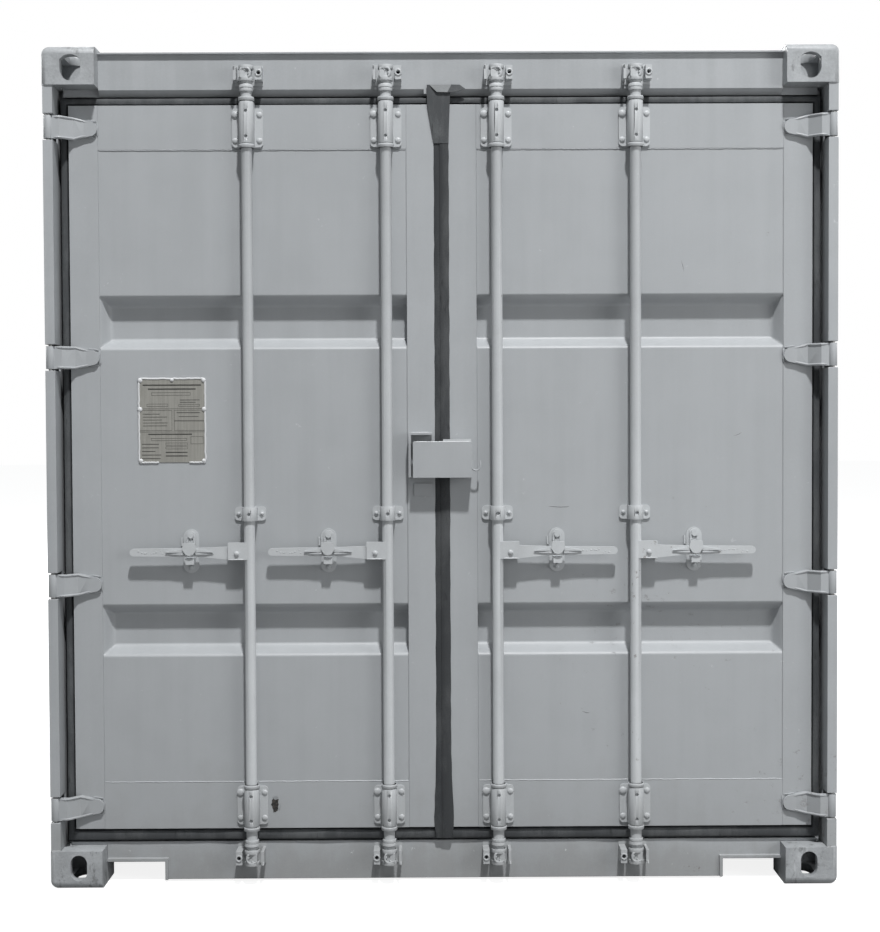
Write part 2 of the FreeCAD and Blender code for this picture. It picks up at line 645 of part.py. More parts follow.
def roof_panel():
    outline = wave(BAY_START, BAY_END, ROOF_FLAT, ROOF_SLOPE, ROOF_DEPTH, ROOF_SHEET)
    points = [(-TOP_RAIL_INNER, along, ROOF_TOP - inward) for along, inward in outline]
    return prism(points, (2 * TOP_RAIL_INNER, 0, 0))


def roof_corner_plate():
    return box(RAIL_SIDE - CORNER_PLATE_WIDTH, RAIL_SIDE, BAY_START, BAY_START + CORNER_PLATE_LENGTH,
               ROOF_TOP, ROOF_TOP + CORNER_PLATE_THICKNESS)


def ventilator():
    """A small vent box in the first hollow of the right side panel, near the doors."""
    pitch = 2 * (SIDE_FLAT + SIDE_SLOPE)
    count = int((BAY_END - BAY_START - SIDE_FLAT) // pitch)
    margin = (BAY_END - BAY_START - count * pitch) / 2 + SIDE_FLAT / 2
    middle = BAY_START + margin + SIDE_SLOPE + SIDE_FLAT / 2
    seat = PANEL_SIDE - SIDE_DEPTH + SIDE_SHEET
    top = TOP_RAIL_BOTTOM - VENT_TOP_GAP
    return box(seat, seat + VENT_DEPTH, middle - VENT_WIDTH / 2, middle + VENT_WIDTH / 2,
               top - VENT_HEIGHT, top)


# ---- a door leaf, on the right-hand side ----------------------------------------------------------------------------------------------
def tube(x0, x1, z0, z1, along_z):
    outer = door_box(x0, x1, LEAF_FACE, LEAF_BACK, z0, z1)
    wall = LEAF_WALL
    if along_z:
        hollow = door_box(x0 + wall, x1 - wall, LEAF_FACE + wall, LEAF_BACK - wall, z0, z1)
    else:
        hollow = door_box(x0, x1, LEAF_FACE + wall, LEAF_BACK - wall, z0 + wall, z1 - wall)
    return outer.cut(hollow)


def leaf_stiles():
    inner = tube(LEAF_INNER_EDGE, LEAF_INNER_EDGE + INNER_STILE, LEAF_BOTTOM, LEAF_TOP, True)
    outer = tube(LEAF_OUTER_EDGE - OUTER_STILE, LEAF_OUTER_EDGE, LEAF_BOTTOM, LEAF_TOP, True)
    return [inner, outer]


def leaf_rails():
    x0 = LEAF_INNER_EDGE + INNER_STILE
    x1 = LEAF_OUTER_EDGE - OUTER_STILE
    top = tube(x0, x1, LEAF_TOP - TOP_DOOR_RAIL, LEAF_TOP, False)
    foot = tube(x0, x1, LEAF_BOTTOM, LEAF_BOTTOM + LOWER_DOOR_RAIL, False)
    return [top, foot]


def leaf_panel():
    """A sheet with two pressed troughs that run from stile to stile."""
    front = [(PANEL_FACE, LEAF_BOTTOM + LOWER_DOOR_RAIL)]
    for low, high in (LOWER_TROUGH, UPPER_TROUGH):
        front += [(PANEL_FACE, low), (PANEL_FACE + TROUGH_DEPTH, low + TROUGH_SLOPE)]
        front += [(PANEL_FACE + TROUGH_DEPTH, high - TROUGH_SLOPE), (PANEL_FACE, high)]
    front.append((PANEL_FACE, LEAF_TOP - TOP_DOOR_RAIL))
    shift = DOOR_SHEET * math.tan(math.atan2(TROUGH_DEPTH, TROUGH_SLOPE) / 2)
    moves = [0, -shift, -shift, shift, shift, -shift, -shift, shift, shift, 0]
    back = [(d + DOOR_SHEET, z + move) for (d, z), move in zip(front, moves)]
    x0 = LEAF_INNER_EDGE + INNER_STILE
    x1 = LEAF_OUTER_EDGE - OUTER_STILE
    return prism_x(front + back[::-1], x0, x1)


def leaf_gasket():
    """One closed ring of rubber round the leaf's edges."""
    outer = door_box(GASKET_CENTRE, POST_LIP_INNER - GASKET_SIDE_CLEARANCE, GASKET_FRONT, GASKET_BACK,
                     SILL_STEP_TOP + GASKET_EDGE_CLEARANCE, HEADER_BOTTOM - GASKET_EDGE_CLEARANCE)
    return outer.cut(door_box(LEAF_INNER_EDGE, LEAF_OUTER_EDGE, GASKET_FRONT - 1, GASKET_BACK + 1,
                              LEAF_BOTTOM, LEAF_TOP))


def hinge_blade(z):
    """A blade that is bent from the barrel down on to the leaf's face, with a rounded tip."""
    tip = LEAF_OUTER_EDGE - BLADE_REACH
    face = LEAF_FACE - BLADE_THICKNESS
    half = BLADE_THICKNESS / 2
    bend_top = LEAF_OUTER_EDGE + 17.0
    bend_foot = LEAF_OUTER_EDGE - 17.0
    plan = [(HINGE_X, HINGE_DEPTH - half), (bend_top, HINGE_DEPTH - half), (bend_foot, face - 2),
            (bend_foot - 33.0, face), (tip, face), (tip, LEAF_FACE), (bend_foot - 5.0, LEAF_FACE),
            (bend_top - 5.0, HINGE_DEPTH + half), (HINGE_X, HINGE_DEPTH + half)]
    blade = prism_z(plan, z - BARREL_HEIGHT / 2, z + BARREL_HEIGHT / 2)
    root = BARREL_HEIGHT / 2
    end = BLADE_END_HEIGHT / 2
    outline = [(HINGE_X + BARREL_RADIUS, z - root), (HINGE_X + BARREL_RADIUS, z + root),
               (bend_foot, z + root), (tip + end, z + end), (tip + end, z - end), (bend_foot, z - root)]
    shape = fused(prism_y(outline, 0, LEAF_FACE), disc_y(tip + end, z, end, 0, LEAF_FACE))
    blade = blade.common(shape)
    barrel = column(HINGE_X, HINGE_DEPTH, BARREL_RADIUS, z - root, z + root)
    bore = column(HINGE_X, HINGE_DEPTH, PIN_RADIUS + PIN_CLEARANCE, z - root - 1, z + root + 1)
    return fused(blade, barrel).cut(bore)


# ---- rod guides ------------------------------------------------------------------------------
def rod_guide(rod_x, plate_z, plate_height, sleeve, seat, holes):
    """A base plate with a sleeve round the rod; holes are heights of round holes in its front."""
    x0 = rod_x - GUIDE_WIDTH / 2
    plate = door_box(x0, x0 + GUIDE_WIDTH, seat - GUIDE_PLATE, seat, plate_z - plate_height / 2,
                     plate_z + plate_height / 2)
    corners = [e for e in plate.Edges if abs(e.Length - GUIDE_PLATE) < 1e-6]
    plate = plate.makeFillet(min(GUIDE_CORNER, plate_height / 4), corners)
    saddle = door_box(rod_x - SLEEVE_RADIUS, rod_x + SLEEVE_RADIUS, ROD_DEPTH, seat - GUIDE_PLATE,
                      sleeve[0], sleeve[1])
    ring = column(rod_x, ROD_DEPTH, SLEEVE_RADIUS, sleeve[0], sleeve[1])
    bore = column(rod_x, ROD_DEPTH, ROD_RADIUS + ROD_CLEARANCE, sleeve[0] - 1, sleeve[1] + 1)
    cuts = [bore] + [disc_y(rod_x, z, GREASE_HOLE_RADIUS, 0, ROD_DEPTH) for z in holes]
    return fused(plate, saddle, ring).cut(cuts)


def rod_guides(rod_x):
    upper = rod_guide(rod_x, UPPER_GUIDE_Z, GUIDE_HEIGHT, UPPER_SLEEVE, LEAF_FACE,
                      (UPPER_SLEEVE[0] + LOWER_HOLE_INSET, UPPER_SLEEVE[1] - GREASE_HOLE_INSET))
    middle_sleeve = (MIDDLE_GUIDE_Z - MIDDLE_GUIDE_HEIGHT / 2, MIDDLE_GUIDE_Z + MIDDLE_GUIDE_HEIGHT / 2)
    middle = rod_guide(rod_x, MIDDLE_GUIDE_Z, MIDDLE_GUIDE_HEIGHT, middle_sleeve, PANEL_FACE,
                       (MIDDLE_GUIDE_Z,))
    lower = rod_guide(rod_x, LOWER_GUIDE_Z, GUIDE_HEIGHT, LOWER_SLEEVE, LEAF_FACE,
                      (LOWER_SLEEVE[0] + LOWER_HOLE_INSET, LOWER_SLEEVE[1] - LOWER_HOLE_INSET))
    return [upper, middle, lower]


# ---- lock rods and keepers -------------------------------------------------------------------
def cam(rod_x, z0):
    """Two fork plates round a square block."""
    z1 = z0 + CAM_HEIGHT
    inset = CAM_BLOCK / 2
    plates = [column(rod_x, ROD_DEPTH, CAM_RADIUS, z0 + CAM_FORK_THICKNESS, z0 + 2 * CAM_FORK_THICKNESS),
              column(rod_x, ROD_DEPTH, CAM_RADIUS, z1 - CAM_FORK_THICKNESS, z1)]
    block = door_box(rod_x - inset, rod_x + inset, ROD_DEPTH - inset, ROD_DEPTH + inset,
                     z0 + CAM_FORK_THICKNESS, z1)
    return plates + [block]


def handle_hub(rod_x):
    """A U bracket on the rod that the handle's heel turns in, with its rivet."""
    front = HANDLE_FRONT - HUB_SLOT_CLEARANCE - HUB_CHEEK
    back = HANDLE_BACK + HUB_SLOT_CLEARANCE + HUB_CHEEK
    body = door_box(rod_x, rod_x + HUB_REACH, front, back, HUB_BOTTOM, HUB_TOP)
    slot = door_box(rod_x + HUB_SLOT_START, rod_x + HUB_REACH + 1, front + HUB_CHEEK, back - HUB_CHEEK,
                    HUB_BOTTOM - 1, HUB_TOP + 1)
    rivet = disc_y(rod_x + HANDLE_PIVOT_X, HANDLE_PIVOT_Z, HANDLE_PIVOT_RADIUS, front - RIVET_HEAD, back)
    return [body.cut(slot), rivet]


def lock_rod(rod_x):
    parts = [column(rod_x, ROD_DEPTH, ROD_RADIUS, ROD_BOTTOM, ROD_TOP)]
    parts += cam(rod_x, ROD_TOP - CAM_HEIGHT)
    low_cam_top = ROD_BOTTOM + CAM_HEIGHT
    for piece in cam(rod_x, -low_cam_top):
        parts.append(piece.mirror(V(0, 0, 0), V(0, 0, 1)))
    high_flange = ROD_TOP - CAM_HEIGHT - FLANGE_BELOW_CAM
    low_flange = low_cam_top + FLANGE_BELOW_CAM
    parts.append(column(rod_x, ROD_DEPTH, FLANGE_RADIUS, high_flange, high_flange + FLANGE_HEIGHT))
    parts.append(column(rod_x, ROD_DEPTH, FLANGE_RADIUS, low_flange - FLANGE_HEIGHT, low_flange))
    for low, high in (UPPER_SLEEVE, LOWER_SLEEVE):
        parts.append(column(rod_x, ROD_DEPTH, COLLAR_RADIUS, high + COLLAR_GAP,
                            high + COLLAR_GAP + COLLAR_HEIGHT))
        parts.append(column(rod_x, ROD_DEPTH, COLLAR_RADIUS, low - COLLAR_GAP - COLLAR_HEIGHT,
                            low - COLLAR_GAP))
    return fused(*(parts + handle_hub(rod_x)))


def keeper(rod_x, seat, middle_z, hook_side):
    """A welded base with a plain lug on one side of the cam and an eyed lug on the other."""
    near = KEEPER_GAP
    z0 = middle_z - KEEPER_LUG_HEIGHT / 2
    z1 = middle_z + KEEPER_LUG_HEIGHT / 2
    plain = sorted((rod_x - hook_side * near, rod_x - hook_side * KEEPER_LEFT))
    eyed = sorted((rod_x + hook_side * near, rod_x + hook_side * KEEPER_RIGHT))
    base = door_box(plain[0] if hook_side > 0 else eyed[0], eyed[1] if hook_side > 0 else plain[1],
                    seat - KEEPER_PLATE, seat, middle_z - KEEPER_HEIGHT / 2, middle_z + KEEPER_HEIGHT / 2)
    lug = door_box(plain[0], plain[1], KEEPER_FRONT, seat, z0, z1)
    eye = door_box(eyed[0], eyed[1], KEEPER_FRONT, seat, z0, z1)
    hole_x = (eyed[0] + eyed[1]) / 2
    eye = eye.cut(disc_y(hole_x, middle_z, KEEPER_HOLE_RADIUS, 0, seat - KEEPER_PLATE))
    return fused(base, lug, eye)


def keepers():
    high = ROD_TOP - (CAM_HEIGHT - CAM_FORK_THICKNESS) / 2
    low = ROD_BOTTOM + (CAM_HEIGHT - CAM_FORK_THICKNESS) / 2
    made = []
    for rod_x in (-OUTER_ROD_X, -INNER_ROD_X, INNER_ROD_X, OUTER_ROD_X):
        made.append(keeper(rod_x, HEADER_FACE, high, 1))
        made.append(keeper(rod_x, SILL_FACE, low, -1))
    return made


# ---- handles, retainers and catches ----------------------------------------------------------
def handle(rod_x):
    """A flat bar, high at the heel and slim at the tip, with a rib and a raised tongue."""
    pivot = rod_x + HANDLE_PIVOT_X
    hold = rod_x + RETAINER_X
    tip = rod_x + HANDLE_LENGTH - HANDLE_TIP_RADIUS
    bar = [(pivot, HANDLE_PIVOT_Z + 20), (pivot + 26, HANDLE_PIVOT_Z + 21), (hold - 30, HANDLE_TIP_Z + 14),
           (tip, HANDLE_TIP_Z + HANDLE_TIP_RADIUS), (tip, HANDLE_TIP_Z - HANDLE_TIP_RADIUS),
           (hold - 30, HANDLE_TIP_Z - 14), (pivot + 26, HANDLE_PIVOT_Z - 19), (pivot, HANDLE_PIVOT_Z - 20)]
    half_rib = RIB_LENGTH / 2
    rib = [(hold - half_rib, HANDLE_TIP_Z), (hold - 20, HANDLE_TIP_Z + 11), (hold + 20, HANDLE_TIP_Z + 11),
           (hold + half_rib, HANDLE_TIP_Z + 2), (hold + half_rib, HANDLE_TIP_Z)]
    tongue = [(hold - 22, HANDLE_TIP_Z + 9), (hold - 17, HANDLE_TIP_Z + 29), (hold + 19, HANDLE_TIP_Z + 29),
              (hold + 22, HANDLE_TIP_Z + 9), (hold + 11, HANDLE_TIP_Z - 7), (hold, HANDLE_TIP_Z - 10),
              (hold - 11, HANDLE_TIP_Z - 7)]
    front = HANDLE_FRONT - RIB_RISE
    shape = fused(prism_y(bar, HANDLE_FRONT, HANDLE_BACK),
                  disc_y(pivot, HANDLE_PIVOT_Z, HANDLE_HEEL_RADIUS, HANDLE_FRONT, HANDLE_BACK),
                  disc_y(tip, HANDLE_TIP_Z, HANDLE_TIP_RADIUS, HANDLE_FRONT, HANDLE_BACK),
                  prism_y(rib, front, HANDLE_FRONT),
                  prism_y(tongue, front - RIB_RISE / 2, HANDLE_FRONT))
    bore = HANDLE_PIVOT_RADIUS + HANDLE_PIVOT_CLEARANCE
    return shape.cut(disc_y(pivot, HANDLE_PIVOT_Z, bore, 0, HANDLE_BACK + 1))


def retainer(rod_x):
    """A back plate with a shelf under the handle and the pin that the catch hangs on."""
    x = rod_x + RETAINER_X
    half = RETAINER_WIDTH / 2
    seat = PANEL_FACE
    front = seat - RETAINER_PLATE
    plate = fused(door_box(x - half, x + half, front, seat, RETAINER_BOTTOM + half, RETAINER_TOP - half),
                  disc_y(x, RETAINER_BOTTOM + half, half, front, seat),
                  disc_y(x, RETAINER_TOP - half, half, front, seat))
    shelf_top = HANDLE_TIP_Z - 14 - SHELF_CLEARANCE
    shelf = door_box(x - SHELF_WIDTH / 2, x + SHELF_WIDTH / 2, HANDLE_FRONT, front, SHELF_BOTTOM, shelf_top)
    catch_front = front - CATCH_CLEARANCE - CATCH_THICKNESS
    pin = disc_y(x, CATCH_PIVOT_Z, CATCH_PIN_RADIUS, catch_front - CATCH_CLEARANCE, front)
    head = disc_y(x, CATCH_PIVOT_Z, CATCH_HEAD_RADIUS, catch_front - CATCH_CLEARANCE - RIVET_HEAD,
                  catch_front - CATCH_CLEARANCE)
    rivet = disc_y(x, LOWER_RIVET_Z, LOWER_RIVET_RADIUS, front - RIVET_HEAD, front)
    return fused(plate, shelf, pin, head, rivet)


def catch(rod_x):
    """A small plate that hangs on the retainer's pin."""
    x = rod_x + RETAINER_X
    half = CATCH_WIDTH / 2
    back = PANEL_FACE - RETAINER_PLATE - CATCH_CLEARANCE
    front = back - CATCH_THICKNESS
    shape = fused(door_box(x - half, x + half, front, back, CATCH_BOTTOM, CATCH_PIVOT_Z),
                  disc_y(x, CATCH_PIVOT_Z, half, front, back))
    return shape.cut(disc_y(x, CATCH_PIVOT_Z, CATCH_PIN_RADIUS + HANDLE_PIVOT_CLEARANCE, front - 1, back + 1))


# ---- lock box, bracket and plate -------------------------------------------------------------
def lock_box():
    """A steel hood on the right leaf that reaches over the left one, with a wire hook."""
    plan = [(BOX_LEFT, 0), (BOX_RIGHT, 0), (BOX_RIGHT, LEAF_FACE), (LEAF_INNER_EDGE, LEAF_FACE),
            (0, BOX_SHALLOW), (BOX_LEFT, BOX_SHALLOW)]
    top = prism_z(plan, BOX_TOP - BOX_WALL, BOX_TOP)
    front = door_box(BOX_LEFT, BOX_RIGHT, 0, BOX_WALL, BOX_BOTTOM, BOX_TOP)
    side = door_box(BOX_RIGHT - BOX_WALL, BOX_RIGHT, 0, LEAF_FACE, BOX_BOTTOM, BOX_TOP)
    middle = BOX_RIGHT + HOOK_RADIUS
    depth = BOX_SHALLOW
    bend_z = HOOK_BOTTOM + HOOK_RADIUS
    bend = Part.makeTorus(HOOK_RADIUS, HOOK_WIRE_RADIUS, V(middle, door_y(depth), bend_z), V(0, 1, 0))
    bend = bend.common(door_box(BOX_LEFT, middle + 2 * HOOK_RADIUS, 0, LEAF_FACE, 0, bend_z))
    legs = [column(middle + side_of * HOOK_RADIUS, depth, HOOK_WIRE_RADIUS, bend_z, HOOK_TOP)
            for side_of in (-1, 1)]
    return fused(top, front, side, bend, *legs)


def lock_bracket():
    """An L of plate on the left leaf that shields the lock box's open end, and a striking pad."""
    top = door_box(BRACKET_LEFT, BRACKET_RIGHT, BRACKET_FRONT, LEAF_FACE, BRACKET_TOP - BRACKET_WALL,
                   BRACKET_TOP)
    side = door_box(BRACKET_LEFT, BRACKET_LEFT + BRACKET_WALL, BRACKET_FRONT, LEAF_FACE, BOX_BOTTOM,
                    BRACKET_TOP)
    pad = door_box(PAD_LEFT, PAD_RIGHT, LEAF_FACE - PAD_THICKNESS, LEAF_FACE, PAD_BOTTOM, PAD_TOP)
    return [fused(top, side), pad]


def data_plate():
    return door_box(PLATE_LEFT, PLATE_RIGHT, PANEL_FACE - PLATE_THICKNESS, PANEL_FACE, PLATE_BOTTOM,
                    PLATE_TOP)


# ---- write every node ------------------------------------------------------------------------
write("bottom_corner_castings", *four_corners(casting(False)))
write("top_corner_castings", *four_corners(casting(True)))
write("right_rear_post", rear_post())
write("left_rear_post", flip_x(rear_post()))
write("front_posts", front_post(), flip_x(front_post()))
write("door_header", door_header())
write("door_sill", door_sill())
write("front_header", front_header())
write("front_sill", front_sill())
write("top_side_rails", top_rail(), flip_x(top_rail()))
write("bottom_side_rails", base_rail(), flip_x(base_rail()))
write("cross_members", *cross_members())
write("fork_pockets", fork_pocket(-1), fork_pocket(1))
write("floor_boards", *floor_boards())
write("right_side_panel", side_panel())
write("left_side_panel", flip_x(side_panel()))
write("front_panel", front_panel())
write("roof_panel", roof_panel())
write("roof_corner_plates", *four_corners(roof_corner_plate()))
write("ventilators", *four_corners(ventilator()))
write("cam_keepers", *keepers())
write("hinge_pins", *(hinge_pins() + [flip_x(pin) for pin in hinge_pins()]))

blades = [hinge_blade(z) for z in HINGE_HEIGHTS]
guides = rod_guides(INNER_ROD_X) + rod_guides(OUTER_ROD_X)
retainers = [retainer(INNER_ROD_X), retainer(OUTER_ROD_X)]
leaf_nodes = {
    "door_stiles": leaf_stiles(),
    "door_rails": leaf_rails(),
    "door_panel": [leaf_panel()],
    "door_gasket": [leaf_gasket()],
    "hinge_blades": blades,
    "rod_guides": guides,
    "handle_retainers": retainers,
}
for name, shapes in leaf_nodes.items():
    write("right_" + name, *shapes)
    write("left_" + name, *[flip_x(shape) for shape in shapes])

for place, rod_x in (("inner", INNER_ROD_X), ("outer", OUTER_ROD_X)):
    gear = {"lock_rod": lock_rod(rod_x), "handle": handle(rod_x), "catch": catch(rod_x)}
    for name, shape in gear.items():
        write("right_" + place + "_" + name, shape)
        write("left_" + place + "_" + name, flip_x(shape))

write("lock_box", lock_box())
write("lock_bracket", *lock_bracket())
write("data_plate", data_plate())
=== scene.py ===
"""The looks of a 20 ft dry freight container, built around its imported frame.

Lengths are in metres. The doors face -Y, +Z is up and the origin is the middle of the footprint.
A depth is a distance inwards from the door-end plane of the corner castings.
"""

import logging
import math
import random
from dataclasses import dataclass, field
from enum import Enum
from typing import Any, Optional, Sequence

import bmesh
import bpy
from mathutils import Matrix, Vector


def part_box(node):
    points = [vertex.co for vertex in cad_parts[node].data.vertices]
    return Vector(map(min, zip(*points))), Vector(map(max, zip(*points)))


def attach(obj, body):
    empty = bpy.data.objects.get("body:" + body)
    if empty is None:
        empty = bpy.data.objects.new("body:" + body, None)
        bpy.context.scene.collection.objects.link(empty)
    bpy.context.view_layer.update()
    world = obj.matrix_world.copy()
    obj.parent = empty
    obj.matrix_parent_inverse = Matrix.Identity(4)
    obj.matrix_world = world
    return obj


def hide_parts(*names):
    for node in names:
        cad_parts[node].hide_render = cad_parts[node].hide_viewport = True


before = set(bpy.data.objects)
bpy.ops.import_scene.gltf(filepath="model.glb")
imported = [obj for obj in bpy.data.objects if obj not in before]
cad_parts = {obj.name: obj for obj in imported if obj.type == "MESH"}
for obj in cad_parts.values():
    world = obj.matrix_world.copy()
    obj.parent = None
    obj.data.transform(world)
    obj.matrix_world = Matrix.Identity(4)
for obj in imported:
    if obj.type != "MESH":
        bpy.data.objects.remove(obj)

LOG = logging.getLogger("container")
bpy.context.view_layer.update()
Point = tuple[float, float, float]
Flat = tuple[float, float]
Colour = tuple[float, float, float]
FRONT = (0, -1, 0)
BEVEL_ANGLE = math.radians(38)


class Side(Enum):
    """A side of the container, seen from in front of the doors."""

    RIGHT = 1
    LEFT = -1

    @property
    def word(self) -> str:
        """The side's name in node and body names."""
        return self.name.lower()

    @property
    def door(self) -> str:
        """The body of the door on this side."""
        return f"{self.word}_door"


class Row(Enum):
    """Which of a door's two lock rods."""

    INNER = "inner"
    OUTER = "outer"


class Axis(Enum):
    """The direction that an outline is swept in or a turned shape stands along."""

    X = 0
    Y = 1
    Z = 2


@dataclass(frozen=True)
class Box:
    """The lowest and highest corner of a piece of the frame."""

    low: Vector
    high: Vector

    @classmethod
    def of(cls, node: str) -> "Box":
        """The box of a CAD node at rest."""
        return cls(*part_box(node))


END_PLANE = Box.of("bottom_corner_castings").low.y


def deep(depth: float) -> float:
    """The Y of a depth inwards from the door end."""
    return END_PLANE + depth


def spot(x: float, depth: float, z: float) -> Vector:
    """The point at a depth inwards from the door end."""
    return Vector((x, deep(depth), z))


# ---- shader graphs ----------------------------------------------------------------------------


class Socket:
    """A number worked out by a shader. Python's operators on it add Math nodes."""

    def __init__(self, graph: "Graph", output: bpy.types.NodeSocket) -> None:
        """Wraps an output socket of a graph's node."""
        self.graph = graph
        self.output = output

    def math(self, operation: str, first: Any, second: Any = 0.0) -> "Socket":
        """Adds one Math node.

        Args:
            operation: the node's operation.
            first: a Socket or a number.
            second: a Socket or a number.

        Returns:
            The node's result.
        """
        node = self.graph.node("ShaderNodeMath", {"operation": operation}, {0: first, 1: second})
        return Socket(self.graph, node.outputs[0])

    def __add__(self, other: Any) -> "Socket":
        """self + other."""
        return self.math("ADD", self, other)

    __radd__ = __add__

    def __sub__(self, other: Any) -> "Socket":
        """self - other."""
        return self.math("SUBTRACT", self, other)

    def __rsub__(self, other: Any) -> "Socket":
        """other - self."""
        return self.math("SUBTRACT", other, self)

    def __mul__(self, other: Any) -> "Socket":
        """self * other."""
        return self.math("MULTIPLY", self, other)

    __rmul__ = __mul__

    def step(self, low: float, high: float) -> "Socket":
        """A smooth step that is 0 at low and 1 at high.

        Args:
            low: where the step starts.
            high: where it ends, which may be below low.

        Returns:
            A mask from 0 to 1.
        """
        ends = {"Value": self, "From Min": low, "From Max": high}
        node = self.graph.node("ShaderNodeMapRange", {"interpolation_type": "SMOOTHSTEP"}, ends)
        return Socket(self.graph, node.outputs["Result"])


class NodeTree:
    """The node tree of a material or a world, emptied and then filled through one method."""

    def __init__(self, owner: Any) -> None:
        """Turns on the owner's nodes and clears them."""
        owner.use_nodes = True
        self.tree = owner.node_tree
        self.tree.nodes.clear()

    def node(
        self, kind: str, settings: Optional[dict] = None, inputs: Optional[dict] = None
    ) -> bpy.types.Node:
        """Adds a node.

        Args:
            kind: the node's type.
            settings: its own properties, which are set first.
            inputs: values or links by the name or number of its sockets.

        Returns:
            The node.
        """
        node = self.tree.nodes.new(kind)
        for key, value in (settings or {}).items():
            setattr(node, key, value)
        for key, value in (inputs or {}).items():
            source = value.output if isinstance(value, Socket) else value
            if isinstance(source, bpy.types.NodeSocket):
                self.tree.links.new(source, node.inputs[key])
            else:
                node.inputs[key].default_value = source
        return node

    def split(self, lit: bpy.types.Node, seen: bpy.types.Node, ending: str) -> None:
        """Ends the tree in one shader that is seen directly and another that gives light.

        Args:
            lit: the node that all other rays meet.
            seen: the node that is seen directly.
            ending: the type of the output node.
        """
        direct = self.node("ShaderNodeLightPath").outputs["Is Camera Ray"]
        both = {0: direct, 1: lit.outputs[0], 2: seen.outputs[0]}
        mix = self.node("ShaderNodeMixShader", {}, both)
        self.node(ending, {}, {0: mix.outputs[0]})


class Graph(NodeTree):
    """One procedural material of the container, and the place that its nodes read."""

    def __init__(self, name: str) -> None:
        """Starts an empty material."""
        self.material = bpy.data.materials.new(name)
        super().__init__(self.material)
        self.place = self.node("ShaderNodeTexCoord").outputs["Object"]
        parts = self.node("ShaderNodeSeparateXYZ", {}, {0: self.place})
        self.z = Socket(self, parts.outputs[2])

    def noise(
        self, scale: float, detail: float = 3.0, stretch: Point = (1.0, 1.0, 1.0),
        rough: float = 0.5,
    ) -> Socket:
        """A cloudy mask around one half.

        Args:
            scale: cells per metre.
            detail: how many finer octaves.
            stretch: factors on the three directions.
            rough: how strong the finer octaves are.

        Returns:
            The noise.
        """
        factors = {0: self.place, 1: stretch}
        scaled = self.node("ShaderNodeVectorMath", {"operation": "MULTIPLY"}, factors).outputs[0]
        inputs = {"Vector": scaled, "Scale": scale, "Detail": detail, "Roughness": rough}
        node = self.node("ShaderNodeTexNoise", {}, inputs)
        return Socket(self, node.outputs["Fac"])

    def blend(self, first: Any, second: Any, mask: Any) -> bpy.types.NodeSocket:
        """Mixes two colours.

        Args:
            first: a colour or a link, shown where the mask is 0.
            second: a colour or a link, shown where the mask is 1.
            mask: the share of the second.

        Returns:
            The mixed colour's socket.
        """
        paint = [(*c, 1.0) if isinstance(c, tuple) else c for c in (first, second)]
        inputs = {0: mask, 6: paint[0], 7: paint[1]}
        return self.node("ShaderNodeMix", {"data_type": "RGBA"}, inputs).outputs[2]

    def tints(
        self, colour: Colour, darker: float, lighter: float, mask: Socket
    ) -> bpy.types.NodeSocket:
        """Mixes two tints of one colour.

        Args:
            colour: the colour.
            darker: its factor where the mask is 0.
            lighter: its factor where the mask is 1.
            mask: the share of the lighter tint.

        Returns:
            The mixed colour's socket.
        """
        return self.blend(tinted(colour, darker), tinted(colour, lighter), mask)

    def finish(
        self, colour: Any, rough: Any, height: Socket, lift: float, **constants: float
    ) -> bpy.types.Material:
        """Ends the graph in a shader.

        Args:
            colour: the base colour's link.
            rough: the roughness.
            height: what the surface's relief follows.
            lift: how tall that relief is, in metres.
            constants: numbers for other sockets of the shader, by name with _ for a space.

        Returns:
            The material.
        """
        bump = {"Strength": 1.0, "Distance": lift, "Height": height}
        relief = self.node("ShaderNodeBump", {}, bump).outputs[0]
        inputs = {"Base Color": colour, "Roughness": rough, "Normal": relief}
        shader = self.node("ShaderNodeBsdfPrincipled", {}, inputs)
        for key, value in constants.items():
            shader.inputs[key.replace("_", " ")].default_value = value
        self.node("ShaderNodeOutputMaterial", {}, {0: shader.outputs[0]})
        return self.material


def tinted(colour: Colour, factor: float) -> Colour:
    """A colour made lighter or darker."""
    return tuple(min(1.0, c * factor) for c in colour)


